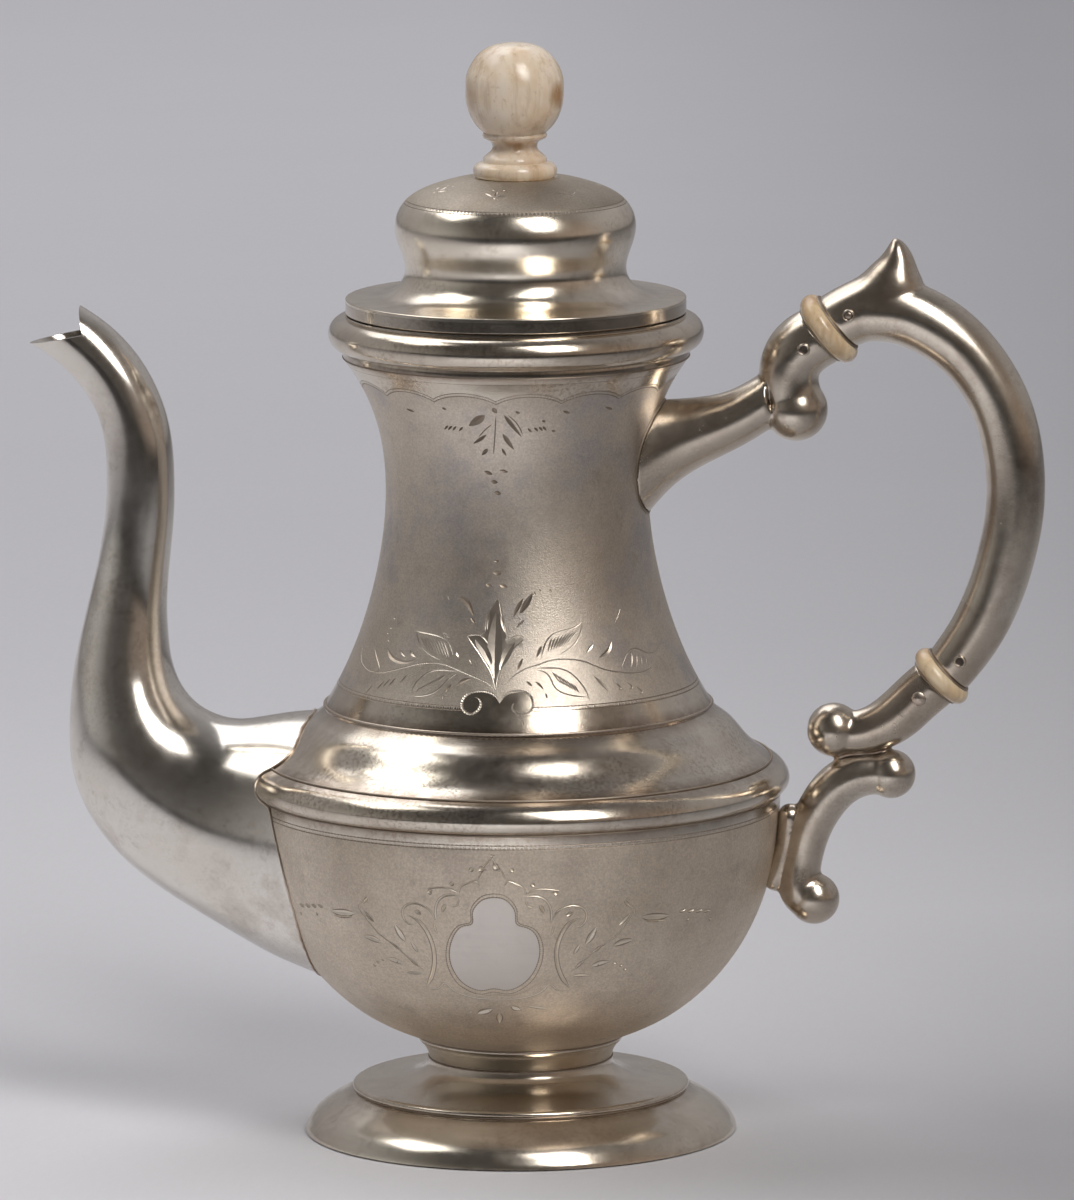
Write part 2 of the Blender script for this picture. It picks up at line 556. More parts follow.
SATIN = silver("silver_satin", (0.82, 0.725, 0.61, 1), (0.68, 0.585, 0.475, 1), 0.46, 0.56, 0.5, 3800.0, seed=(4.0, 1.0, 0.5), stain=0.32,
               patch=(0.55, 0.47, 0.39, 1), patchy=0.45, hair=0.06, speck=0.18, freckle=0.14)
SATIN_NECK = silver("silver_satin_neck", (0.75, 0.67, 0.575, 1), (0.62, 0.545, 0.465, 1), 0.40, 0.48, 0.5, 3800.0, seed=(4.6, 1.3, 0.2), stain=0.34,
                    patch=(0.51, 0.48, 0.485, 1), patchy=0.60, hair=0.06, speck=0.18)
SATIN_LID = silver("silver_satin_lid", (0.50, 0.445, 0.375, 1), (0.42, 0.365, 0.305, 1), 0.55, 0.65, 0.5, 3800.0, seed=(1.4, 2.8, 0.9), stain=0.34,
                   patch=(0.40, 0.35, 0.31, 1), patchy=0.40, hair=0.05, speck=0.18)
BRIGHT = silver("silver_bright_cut", (0.66, 0.60, 0.52, 1), (0.50, 0.43, 0.36, 1), 0.28, 0.38, 0.03, 2600.0, seed=(1.0, 7.0, 2.0), stain=0.25)
LINE = silver("silver_line", (0.40, 0.335, 0.27, 1), (0.26, 0.21, 0.165, 1), 0.40, 0.55, 0.10, 2600.0, seed=(3.0, 3.0, 2.0), stain=0.3)
GLINT = silver("silver_glint", (0.88, 0.81, 0.70, 1), (0.80, 0.72, 0.60, 1), 0.40, 0.50, 0.05, 2600.0, seed=(2.0, 5.0, 3.0), stain=0.2)
PLATE_MAT = silver("silver_plate", (0.765, 0.72, 0.67, 1), (0.70, 0.655, 0.605, 1), 0.42, 0.50, 0.05, 2600.0, seed=(6.0, 1.0, 8.0), stain=0.12,
                   patch=(0.70, 0.65, 0.62, 1), patchy=0.2)
SOLDER = silver("silver_solder", (0.70, 0.62, 0.53, 1), (0.42, 0.33, 0.27, 1), 0.26, 0.40, 0.3, 1500.0, seed=(2.0, 8.0, 5.0), stain=0.6)
DARK = silver("silver_dark", (0.16, 0.13, 0.11, 1), (0.07, 0.06, 0.05, 1), 0.40, 0.60, 0.2, 2600.0, seed=(9.0, 2.0, 2.0), stain=0.4,
              patch=(0.10, 0.08, 0.06, 1))


def bone_material(name, pale, mid, deep, brown, heavy, marks=()):
    """Polished bone: cream with long brown streaks, freckles and a few deep brown spots."""
    m, nt, b = material(name)
    streak = noise(nt, 420.0, 5.0, 0.62, stretch=(1.0, 1.0, 0.08))
    wide = noise(nt, 150.0, 4.0, 0.6, stretch=(1.0, 1.0, 0.30), seed=(5.2, 0.9, 0.0))
    broad = noise(nt, 95.0, 4.0, 0.55, seed=(2.0, 0.4, 1.1))
    freck = noise(nt, 900.0, 4.0, 0.6, seed=(1.0, 4.0, 2.0))
    spot = noise(nt, 105.0, 2.0, 0.5, seed=(7.3, 1.9, 4.2))
    base = ramp(nt, broad.outputs["Fac"], [(0.32, pale), (0.52, mid), (0.74, deep)])
    wmask = ramp(nt, wide.outputs["Fac"], [(0.48, grey(0.0)), (0.68, grey(heavy))])
    col = mix(nt, base.outputs["Color"], brown, wmask.outputs["Color"])
    line = ramp(nt, streak.outputs["Fac"], [(0.52, grey(0.0)), (0.70, grey(0.5))])
    col = mix(nt, col, (0.44, 0.27, 0.13, 1), line.outputs["Color"])
    fm = ramp(nt, freck.outputs["Fac"], [(0.60, grey(0.0)), (0.72, grey(0.35))])
    col = mix(nt, col, (0.42, 0.27, 0.14, 1), fm.outputs["Color"])
    sp = ramp(nt, spot.outputs["Fac"], [(0.63, grey(0.0)), (0.72, grey(0.8))])
    col = mix(nt, col, (0.36, 0.17, 0.045, 1), sp.outputs["Color"])
    for place, reach, much in marks:
        co = add(nt, "ShaderNodeTexCoord")
        off = add(nt, "ShaderNodeVectorMath", operation="DISTANCE")
        off.inputs[1].default_value = place
        nt.links.new(co.outputs["Object"], off.inputs[0])
        span = add(nt, "ShaderNodeMapRange")
        span.inputs["From Max"].default_value = reach
        nt.links.new(off.outputs["Value"], span.inputs["Value"])
        edge = ramp(nt, span.outputs["Result"], [(0.35, grey(much)), (1.0, grey(0.0))])
        torn = ramp(nt, broad.outputs["Fac"], [(0.30, grey(0.45)), (0.60, grey(1.0))])
        col = mix(nt, col, (0.40, 0.20, 0.06, 1), mix(nt, edge.outputs["Color"], torn.outputs["Color"], 1.0, "MULTIPLY"))
    nt.links.new(col, b.inputs["Base Color"])
    fine = noise(nt, 900.0, 4.0, 0.6)
    rough = ramp(nt, fine.outputs["Fac"], [(0.3, grey(0.16)), (0.7, grey(0.28))])
    nt.links.new(rough.outputs["Color"], b.inputs["Roughness"])
    b.inputs["Subsurface Weight"].default_value = 0.15
    b.inputs["Subsurface Radius"].default_value = (0.004, 0.0025, 0.0015)
    b.inputs["Coat Weight"].default_value = 0.25
    b.inputs["Coat Roughness"].default_value = 0.15
    bump = add(nt, "ShaderNodeBump")
    bump.inputs["Strength"].default_value = 0.12
    bump.inputs["Distance"].default_value = 0.0002
    nt.links.new(streak.outputs["Fac"], bump.inputs["Height"])
    nt.links.new(bump.outputs["Normal"], b.inputs["Normal"])
    return m


BONE = bone_material("bone", (0.95, 0.85, 0.74, 1), (0.91, 0.78, 0.63, 1), (0.80, 0.60, 0.39, 1), (0.66, 0.43, 0.22, 1), 0.45,
                     (((0.0095, -0.004, 0.2120), 0.0034, 0.85), ((-0.0088, -0.0045, 0.2115), 0.0042, 0.45), ((0.0, 0.0, 0.2030), 0.0085, 0.50),
                      ((-0.004, -0.006, 0.2190), 0.0036, 0.30)))
RING_BONE = bone_material("bone_ring", (0.86, 0.71, 0.50, 1), (0.70, 0.52, 0.32, 1), (0.46, 0.29, 0.14, 1), (0.36, 0.20, 0.085, 1), 0.65)


# ------------------------------------------------------------------ engraved surfaces of revolution
SEAM = -math.pi / 2


class Turned:
    """Outer surface of revolution, with arc length v along its profile."""

    def __init__(self, pts, step=0.12):
        self.sp = Spline(pts)
        n = int(self.sp.t[-1] / step)
        q = self.sp.sample(n)
        d = np.linalg.norm(np.diff(q, axis=0), axis=1)
        self.v = np.concatenate([[0], np.cumsum(d)])
        self.q = q
        g = np.gradient(q, self.v, axis=0)
        self.g = g / np.linalg.norm(g, axis=1)[:, None]

    def rz(self, v):
        return np.interp(v, self.v, self.q[:, 0]), np.interp(v, self.v, self.q[:, 1])

    def slope(self, v):
        return np.interp(v, self.v, self.g[:, 0]), np.interp(v, self.v, self.g[:, 1])

    def v_of_z(self, z):
        zz = self.q[:, 1]
        if zz[-1] > zz[0]:
            return np.interp(z, zz, self.v)
        return np.interp(-np.asarray(z), -zz, self.v)

    def hit(self, px, py):
        """(angle from the front, arc length) where the photograph's ray through a pixel meets the surface."""
        d = ray(px, py)
        lo, hi = self.q[:, 1].min(), self.q[:, 1].max()
        t = np.linspace(2150, 2420, 5400)
        p = CAM + d * t[:, None]
        r = np.hypot(p[:, 0], p[:, 1])
        order = np.argsort(self.q[:, 1])
        rs = np.interp(p[:, 2], self.q[order, 1], self.q[order, 0])
        ok = (r < rs) & (p[:, 2] > lo) & (p[:, 2] < hi)
        if not ok.any():
            return None
        i = int(np.argmax(ok))
        x, y, z = p[i]
        return math.atan2(x, -y), float(self.v_of_z(z))


def point3(t, th, v, depth=0.0):
    """Point of the surface at angle th from the front (-Y) towards +X."""
    r, z = t.rz(v)
    gr, gz = t.slope(v)
    s = 1.0 if t.outward else -1.0
    nr, nz = gz * s, -gr * s
    r = r - nr * depth
    z = z - nz * depth
    return np.stack([r * np.sin(th), -r * np.cos(th), z], -1)


def normal3(t, th, v):
    gr, gz = t.slope(v)
    s = 1.0 if t.outward else -1.0
    nr, nz = gz * s, -gr * s
    return np.stack([nr * np.sin(th), -nr * np.cos(th), nz], -1)


def engraved(t, strokes, region, n_around, rows, r_ref):
    """Triangles of the turned surface with V-shaped cuts.

    strokes: (points as (angle, v), half widths in mm, depth in mm, material index)
    region(angle, v): material index of the ground.
    """
    P, E = [], []

    def put(th, v):
        P.append(Vector((min(max(th, SEAM), SEAM + 2 * math.pi) * r_ref, v)))
        return len(P) - 1

    th_ring = SEAM + np.arange(n_around + 1) * 2 * math.pi / n_around
    th_lo, th_hi = th_ring[0], th_ring[-1]
    rows = np.array(rows)
    for i, v in enumerate(rows):
        ids = [put(th, v) for th in th_ring]
        if i in (0, len(rows) - 1):
            E.extend((ids[k], ids[k + 1]) for k in range(n_around))
    runs = []
    for pts, half, depth, mi in strokes:
        pts = np.array(pts, float)
        half = np.asarray(half, float) * np.ones(len(pts))
        r = t.rz(pts[:, 1])[0]
        m = np.stack([pts[:, 0] * r, pts[:, 1]], 1)
        d = np.gradient(m, axis=0)
        d /= np.maximum(np.linalg.norm(d, axis=1), 1e-9)[:, None]
        nrm = np.stack([-d[:, 1], d[:, 0]], 1)
        a, b, c = [], [], []
        for k in range(len(pts)):
            o = nrm[k] * half[k]
            c.append(put(pts[k, 0], pts[k, 1]))
            if half[k] > 0.012:
                a.append(put(pts[k, 0] + o[0] / r[k], pts[k, 1] + o[1]))
                b.append(put(pts[k, 0] - o[0] / r[k], pts[k, 1] - o[1]))
            else:
                a.append(c[-1])
                b.append(c[-1])
        for L in (a, b, c):
            E.extend((L[k], L[k + 1]) for k in range(len(L) - 1) if L[k] != L[k + 1] and (L is c or (L[k], L[k + 1]) != (c[k], c[k + 1])))
        runs.append((pts, half, depth, mi, float(r.min())))
    res = delaunay_2d_cdt(P, E, [], 0, 1e-5)
    V2 = np.array([(q.x, q.y) for q in res[0]])
    F = np.array([f for f in res[2]], int)
    th, v = V2[:, 0] / r_ref, V2[:, 1]

    def field(th, v):
        """Depth and material of the cuts at points."""
        out = np.zeros(len(th))
        which = np.full(len(th), -1)
        rr = t.rz(v)[0]
        for pts, half, depth, mi, r_min in runs:
            w = half.max()
            dt = 1.3 * w / r_min
            near = np.nonzero((v > pts[:, 1].min() - w) & (v < pts[:, 1].max() + w) &
                              (th > pts[:, 0].min() - dt) & (th < pts[:, 0].max() + dt))[0]
            for c0 in range(0, len(near), 2000):
                k = near[c0:c0 + 2000]
                R = rr[k][:, None]
                ax, ay = (pts[None, :-1, 0] - th[k][:, None]) * R, pts[None, :-1, 1] - v[k][:, None]
                bx, by = (pts[None, 1:, 0] - th[k][:, None]) * R, pts[None, 1:, 1] - v[k][:, None]
                dx, dy = bx - ax, by - ay
                u = np.clip(-(ax * dx + ay * dy) / (dx * dx + dy * dy + 1e-12), 0, 1)
                dist = np.hypot(ax + u * dx, ay + u * dy)
                hw = half[None, :-1] * (1 - u) + half[None, 1:] * u
                e = (np.where(hw > 1e-4, (hw - dist) / w, -1) * depth).max(1)
                hit = e > out[k]
                out[k[hit]] = e[hit]
                which[k[hit & (e > 1e-4)]] = mi
        return out, which

    depth, _ = field(th, v)
    X = point3(t, th, v, depth)
    cen_th, cen_v = th[F].mean(1), v[F].mean(1)
    cd, cm = field(cen_th, cen_v)
    cut = cd > 1e-3
    mat = np.where(cut, cm, region(cen_th, cen_v)).astype(int)
    # orientation and normals
    N0 = normal3(t, th, v)
    fn = np.cross(X[F[:, 1]] - X[F[:, 0]], X[F[:, 2]] - X[F[:, 0]])
    flip = np.sum(fn * N0[F[:, 0]], 1) < 0
    F[flip] = F[flip][:, ::-1]
    fn[flip] *= -1
    keep = np.linalg.norm(fn, axis=1) > 1e-9
    F, mat, cut, fn = F[keep], mat[keep], cut[keep], fn[keep]
    fn /= np.linalg.norm(fn, axis=1)[:, None]
    LN = N0[F].copy()
    LN[cut] = fn[cut][:, None, :]
    # weld the two sides of the seam
    first = {round(float(v[i]), 3): i for i in np.nonzero(np.abs(th - th_lo) < 1e-5)[0]}
    to = np.arange(len(th))
    for i in np.nonzero(np.abs(th - th_hi) < 1e-5)[0]:
        to[i] = first.get(round(float(v[i]), 3), i)
    F = to[F]
    used = np.unique(F)
    back = np.zeros(len(th), int)
    back[used] = np.arange(len(used))
    return X[used], back[F], mat, LN.reshape(-1, 3)


def engraved_piece(name, t, strokes, region, n_around, rows, r_ref, rest_segs, rest_mat, mats, body, nodes):
    """Engraved outer surface closed by the plain lathe-turned rest of the profile."""
    X, F, mat, LN = engraved(t, strokes, region, n_around, rows, r_ref)
    v, f, sh = lathe_mesh(rest_segs, n_around, closed=False, base=0)
    # the rest's own normals, taken from a temporary mesh
    tmp = bpy.data.meshes.new("tmp")
    tmp.from_pydata([tuple(q) for q in v], [], f)
    tmp.polygons.foreach_set("use_smooth", [True] * len(tmp.polygons))
    at = tmp.attributes.new("sharp_edge", "BOOLEAN", "EDGE")
    keys = {tuple(sorted(e.vertices)): e.index for e in tmp.edges}
    flags = np.zeros(len(tmp.edges), bool)
    for a, b in sh:
        k = keys.get((min(a, b), max(a, b)))
        if k is not None:
            flags[k] = True
    at.data.foreach_set("value", flags)
    tmp.update()
    cn = np.zeros(len(tmp.loops) * 3, np.float32)
    tmp.corner_normals.foreach_get("vector", cn)
    cn = cn.reshape(-1, 3)
    bpy.data.meshes.remove(tmp)
    faces = [tuple(q) for q in F] + [tuple(i + len(X) for i in q) for q in f]
    mi = np.concatenate([mat, np.full(len(f), rest_mat, int)])
    return new_piece(name, np.concatenate([X, v]), faces, mats, body, nodes, mat_index=mi,
                     normals=np.concatenate([LN, cn]))


def milled_line(t, z, half=0.15, depth=0.07, mi=3, beads=330, gap=None):
    """Fine line of small punched beads round the body, left open over an angle at the front and at the back."""
    v = float(t.v_of_z(z))
    n = beads * 2
    th = SEAM + np.arange(n + 1) * 2 * math.pi / n
    w = np.where(np.arange(n + 1) % 2 == 0, half, half * 0.45)
    if gap:
        w = np.where((th - gap[0]) % math.pi < gap[1] - gap[0], 0.0, w)
    return (np.stack([th, np.full(n + 1, v)], 1), w, depth, mi)


class Ornament:
    """Cuts drawn in the picture plane of the front view and wrapped on a turned surface, front and back."""

    def __init__(self, t, x0, y0, scale, shift=0.0):
        self.t, self.x0, self.y0, self.k = t, x0, y0, scale
        self.strokes, self.fills = [], []
        self.mirror_at = None

    def wrap(self, pts):
        out = []
        for x, y in pts:
            h = self.t.hit(self.x0 + x / self.k, self.y0 + y / self.k)
            if h is not None:
                out.append(h)
        return np.array(out)

    def smooth(self, pts, step=0.4):
        q = self.wrap(pts)
        if len(q) < 2:
            return None
        r = float(self.t.rz(q[:, 1].mean())[0])
        m = q * np.array([r, 1.0])
        c = Spline(m) if len(m) > 2 else None
        L = np.linalg.norm(np.diff(m, axis=0), axis=1).sum()
        n = max(5, int(L / step) + 1)
        if c is None:
            u = np.linspace(0, 1, n)[:, None]
            w = m[0] * (1 - u) + m[1] * u
        else:
            w = c.sample(n)
        return w / np.array([r, 1.0])

    def put(self, q, half, depth, mi):
        copies = [q]
        if self.mirror_at is not None:
            f = q.copy()
            f[:, 0] = 2 * self.mirror_at - f[:, 0]
            copies.append(f)
        for c in copies:
            for turn in (0.0, math.pi):
                d = c.copy()
                d[:, 0] += turn
                if d[:, 0].min() < SEAM + 0.01 or d[:, 0].max() > SEAM + 2 * math.pi - 0.01:
                    continue
                self.strokes.append((d, half, depth, mi))

    def line(self, pts, w=0.13, depth=0.07, mi=2, taper=True, beads=False):
        q = self.smooth(pts, 0.26 if beads else 0.4)
        if q is None:
            return
        n = len(q)
        u = np.linspace(0, 1, n)
        half = w * (np.minimum(1, np.minimum(u, 1 - u) * 7) * 0.8 + 0.2 if taper else np.ones(n))
        if beads:
            half = half * np.where(np.arange(n) % 2 == 0, 1.0, 0.42)
        self.put(q, half, depth, mi)

    def cut(self, pts, w=0.35, depth=0.16, mi=2, lead=0.45):
        """Lens or drop shaped cut, widest at the fraction lead of its length."""
        q = self.smooth(pts, 0.22)
        if q is None:
            return
        u = np.linspace(0, 1, len(q))
        half = w * np.where(u < lead, np.sin(u / lead * math.pi / 2), np.sin((1 - u) / (1 - lead) * math.pi / 2)) ** 0.8
        half[0] = half[-1] = 0.0
        self.put(q, np.maximum(half, 0.0), depth, mi)

    def dot(self, x, y, rx, ry=None, tilt=0.0, depth=0.16, mi=2):
        ry = rx if ry is None else ry
        c, d = math.cos(tilt), math.sin(tilt)
        q = self.wrap([(x - rx * c, y - rx * d), (x, y), (x + rx * c, y + rx * d)])
        if len(q) < 3:
            return
        w = ry / self.k / MM_PX
        self.cut([(x - rx * c, y - rx * d), (x, y), (x + rx * c, y + rx * d)], w, depth, mi, 0.5)

    def fill(self, pts, mi=2):
        q = self.smooth(list(pts) + [pts[0]], 0.5)
        if q is None:
            return
        polys = [q]
        if self.mirror_at is not None:
            f = q.copy()
            f[:, 0] = 2 * self.mirror_at - f[:, 0]
            polys.append(f)
        for c in polys:
            for turn in (0.0, math.pi):
                d = c.copy()
                d[:, 0] += turn
                self.fills.append((d, mi))


MM_PX = 4.95


def inside(poly, th, v):
    x, y = poly[:, 0], poly[:, 1]
    hit = np.zeros(len(th), bool)
    j = len(x) - 1
    for i in range(len(x)):
        c = (y[i] > v) != (y[j] > v)
        with np.errstate(divide="ignore", invalid="ignore"):
            xx = (x[j] - x[i]) * (v - y[i]) / (y[j] - y[i]) + x[i]
        hit ^= c & (th < xx)
        j = i
    return hit


# ------------------------------------------------------------------ body pieces
neck_t = Turned(NECK)
neck_t.outward = True
bowl_t = Turned(BOWL[4:])
bowl_t.outward = True
lid_t = Turned(LID)
lid_t.outward = True

V_NECK_LINE = float(neck_t.v_of_z(92.4))
VOLUTES = (neck_t.hit(462.0, 708.0)[0], neck_t.hit(532.5, 708.0)[0])
neck_strokes = [milled_line(neck_t, 92.75, beads=300, gap=VOLUTES), milled_line(neck_t, 92.05, beads=300, gap=VOLUTES)]

# fifteen scallops below the rim, drawn as a fine double line
CUSP = neck_t.hit(496.0, 404.0)[0]
PITCH = 2 * math.pi / 15


def scallop_z(th):
    u = ((np.asarray(th) - CUSP) / PITCH) % 1.0
    return 153.1 + 1.65 * np.clip(1 - (2 * u - 1) ** 2, 0, 1) ** 0.85


n = 15 * 44
ring = SEAM + np.arange(n + 1) * 2 * math.pi / n
for up, w in ((0.0, 0.15), (0.62, 0.12)):
    half = np.where(np.arange(n + 1) % 2 == 0, w, w * 0.5)
    neck_strokes.append((np.stack([ring, neck_t.v_of_z(scallop_z(ring) + up)], 1), half, 0.07, 3))

# pendant under the middle scallop point
o = Ornament(neck_t, 340, 380, 4.612)
o.cut([(704, 128), (712, 140), (724, 154)], 0.45)
o.line([(719, 165), (716, 230), (712, 290), (708, 342)], 0.10)
o.cut([(668, 163), (632, 188), (594, 212)], 0.75, 0.2, lead=0.4)
o.cut([(676, 252), (645, 275), (614, 293)], 0.32)
o.line([(700, 205), (672, 228), (640, 262)], 0.10)
o.cut([(682, 316), (668, 332), (654, 346)], 0.36)
o.cut([(757, 163), (796, 212), (838, 264)], 0.38, 0.2, lead=0.3)
o.line([(775, 163), (815, 200), (842, 250)], 0.10)
o.cut([(750, 248), (776, 286), (802, 322)], 0.42, 0.18, lead=0.4)
o.cut([(746, 315), (757, 334), (767, 350)], 0.24)
o.dot(685, 428, 21, 7.5, 0.35)
o.dot(756, 421, 20, 7, 0.2)
o.dot(712, 470, 17, 8, 0.15)
o.dot(727, 521, 17, 9, 0.25)
for x in (875, 905, 926, 944):
    o.cut([(x - 9, 222 - (x - 875) * 0.12), (x + 9, 242 - (x - 875) * 0.12)], 0.22)
for x in (558, 528, 508, 490):
    o.cut([(x + 9, 216 + (558 - x) * -0.1), (x - 9, 236 + (558 - x) * -0.1)], 0.20)
for x, y, r in ((1045, 148, 18), (820, 150, 12), (1240, 130, 18), (325, 140, 20), (480, 132, 12), (940, 190, 9), (985, 235, 10)):
    o.dot(x, y, r, 6, 0.35, 0.12)

o.strokes = [(q, np.asarray(h) * 1.15, d * 1.2, 3) for q, h, d, _ in o.strokes]

# spray on the lower neck: lily, two stems with leaves, two volutes
b_ = Ornament(neck_t, 340, 540, 4.612)
b_.dot(722, 97, 11, 10)
b_.dot(725, 152, 20, 11, 0.1)
b_.dot(687, 209, 16, 10, 0.4)
b_.dot(754, 212, 21, 11, 0.35)
b_.cut([(548, 264), (582, 284), (606, 326), (618, 352)], 0.62, 0.22, lead=0.3)
b_.cut([(602, 358), (613, 372), (624, 388)], 0.28)
b_.cut([(846, 268), (818, 316), (798, 358)], 0.40, 0.16)
b_.cut([(842, 546), (830, 574), (818, 602)], 0.34, 0.16)
b_.cut([(860, 652), (886, 674)], 0.30)
b_.cut([(900, 652), (920, 668), (938, 690)], 0.28)
b_.cut([(948, 704), (956, 732)], 0.22)
b_.cut([(604, 640), (566, 650), (536, 676)], 0.42, 0.18)
b_.cut([(514, 666), (500, 682), (488, 702)], 0.34)
b_.cut([(478, 716), (473, 736)], 0.20)
b_.strokes = [(q, h, d, 3) for q, h, d, _ in b_.strokes]
b_.line([(727, 268), (702, 306), (682, 348), (672, 395), (670, 425)], 0.14)
b_.line([(733, 268), (741, 320), (752, 370), (764, 410), (768, 442)], 0.16)
b_.line([(588, 444), (628, 500), (668, 560), (700, 618), (716, 690)], 0.15)
b_.line([(588, 444), (632, 438), (664, 452), (684, 480)], 0.13)
b_.line([(852, 456), (806, 496), (768, 548), (738, 606), (718, 690)], 0.16)
b_.line([(852, 456), (824, 440), (792, 452), (772, 478)], 0.13)
b_.cut([(722, 330), (716, 440), (712, 540), (712, 640)], 1.5, 0.34, lead=0.55)
b_.cut([(622, 458), (664, 510), (700, 590)], 0.95, 0.26, lead=0.45)
b_.cut([(806, 470), (772, 520), (736, 600)], 0.90, 0.26, lead=0.45)
b_.cut([(690, 345), (684, 380), (680, 415)], 0.30, 0.10)
b_.cut([(742, 345), (750, 385), (760, 425)], 0.30, 0.10)
b_.fill([(727, 275), (700, 315), (676, 370), (668, 440), (690, 480), (650, 445), (592, 446), (640, 520), (690, 600), (716, 680),
         (740, 600), (780, 530), (845, 458), (800, 455), (772, 480), (766, 430), (750, 360), (738, 300)])
# stems
b_.line([(716, 698), (690, 668), (640, 640), (560, 606), (480, 574), (420, 566), (350, 574), (270, 594), (200, 609), (140, 604), (118, 590)], 0.21, 0.09, beads=True)
b_.line([(738, 694), (786, 642), (850, 596), (900, 580), (970, 556), (1050, 550), (1130, 562), (1210, 594), (1290, 610), (1380, 612), (1430, 592), (1466, 545)], 0.21, 0.09, beads=True)
# leaves on the left
b_.line([(460, 551), (412, 526), (372, 482), (352, 420)], 0.15)
b_.line([(352, 420), (404, 430), (462, 446), (506, 480), (520, 530)], 0.15)
for k in range(9):
    b_.cut([(374 + 13 * k, 441 + 3 * k), (392 + 13 * k, 484 + 3.5 * k), (410 + 11.5 * k, 520 + 2.5 * k)], 0.20, 0.10)
b_.line([(545, 606), (480, 600), (420, 606), (372, 636), (338, 680), (328, 716)], 0.14)
b_.line([(545, 612), (502, 640), (452, 690), (402, 714), (336, 719)], 0.15)
for k in range(7):
    b_.cut([(496 - 19 * k, 612 + 11 * k), (468 - 18 * k, 636 + 9.5 * k), (444 - 15 * k, 660 + 7.5 * k)], 0.22, 0.10)
b_.cut([(218, 492), (236, 536), (272, 558), (318, 562), (352, 548)], 0.55, 0.2, lead=0.35)
b_.cut([(322, 505), (334, 524), (350, 540)], 0.42, 0.16)
b_.cut([(278, 505), (288, 524), (302, 540)], 0.22, 0.12)
b_.line([(104, 490), (99, 548), (120, 590), (152, 608), (180, 602), (173, 552), (160, 500)], 0.13)
b_.line([(104, 490), (130, 492), (160, 500)], 0.12)
for x, y in ((253, 360), (238, 405), (223, 430), (226, 463)):
    b_.dot(x, y, 6, 5)
for x, y in ((446, 283), (472, 264), (500, 267)):
    b_.cut([(x - 4, y - 12), (x + 6, y + 12)], 0.18, 0.1)
b_.cut([(474, 428), (490, 438), (506, 452)], 0.32)
b_.cut([(537, 516), (545, 532), (551, 546)], 0.28)
b_.cut([(596, 548), (603, 560), (608, 572)], 0.22)
for x, y in ((310, 622), (258, 636), (232, 640), (205, 650), (150, 672)):
    b_.cut([(x, y), (x - 18, y + 20), (x - 36, y + 40)], 0.20, 0.1)
# leaves on the right
b_.line([(1010, 531), (1070, 490), (1108, 432), (1116, 378)], 0.16)
b_.line([(1116, 378), (1078, 404), (1020, 420), (970, 444), (944, 484), (928, 546)], 0.15)
for k in range(8):
    b_.cut([(1096 - 17 * k, 416 + 5 * k), (1068 - 14.5 * k, 450 + 5 * k), (1042 - 12 * k, 484 + 5 * k)], 0.22, 0.10)
b_.line([(898, 592), (960, 590), (1042, 602), (1100, 648), (1136, 700), (1152, 742)], 0.15)
b_.line([(898, 598), (960, 622), (990, 678), (1042, 710), (1140, 724)], 0.15)
for k in range(7):
    b_.cut([(976 + 17 * k, 606 + 10 * k), (1000 + 15.5 * k, 636 + 9 * k), (1020 + 14 * k, 664 + 7 * k)], 0.22, 0.10)
b_.line([(1300, 584), (1320, 532), (1346, 502), (1382, 506), (1420, 522), (1452, 514), (1474, 482), (1480, 442), (1468, 404)], 0.15)
for k in range(4):
    b_.cut([(1344 + 22 * k, 520 + 6 * k), (1346 + 22 * k, 556 + 4 * k), (1340 + 24 * k, 592 - 2 * k)], 0.24, 0.1)
b_.cut([(888, 244), (862, 290), (828, 342)], 0.62, 0.22, lead=0.5)
b_.cut([(848, 368), (832, 386), (814, 404)], 0.30)
for x, y in ((898, 246), (921, 233), (970, 233)):
    b_.dot(x, y, 8, 5, 1.1)
b_.cut([(930, 488), (918, 514), (906, 542)], 0.34, 0.16)
b_.cut([(1168, 478), (1152, 500), (1136, 522)], 0.34, 0.14)
b_.cut([(1252, 466), (1238, 508), (1192, 542)], 0.50, 0.18)
for x, y, w in ((1172, 628, 0.36), (1266, 656, 0.22), (1318, 652, 0.20), (1364, 674, 0.20)):
    b_.cut([(x, y), (x + 30, y + 30), (x + (74 if w > 0.3 else 16), y + (74 if w > 0.3 else 34))], w, 0.14)
b_.line([(1292, 318), (1282, 350), (1268, 382)], 0.08)
# volutes
b_.line([(736, 752), (716, 718), (680, 700), (624, 698), (582, 716), (562, 756), (574, 790), (604, 802), (636, 786), (650, 756), (640, 732), (622, 726)], 0.34, 0.15, beads=True)
b_.line([(736, 752), (762, 714), (810, 698), (864, 706), (888, 744), (880, 786), (846, 804), (812, 796), (794, 772), (802, 752)], 0.34, 0.15, beads=True)
# inside the volutes the ground stays polished
b_.fill([(562, 756), (582, 716), (624, 698), (680, 700), (716, 718), (736, 752), (762, 714), (810, 698), (864, 706), (888, 744), (880, 786),
         (846, 806), (736, 812), (604, 806), (574, 790)], 0)

neck_strokes += o.strokes + b_.strokes
neck_fills = o.fills + b_.fills


def neck_region(th, v):
    z = neck_t.rz(v)[1]
    m = np.where((v > V_NECK_LINE) & (z < scallop_z(th) + 0.3), 1, 0)
    for poly, mi in neck_fills:
        m[inside(poly, th, v)] = mi
    return m


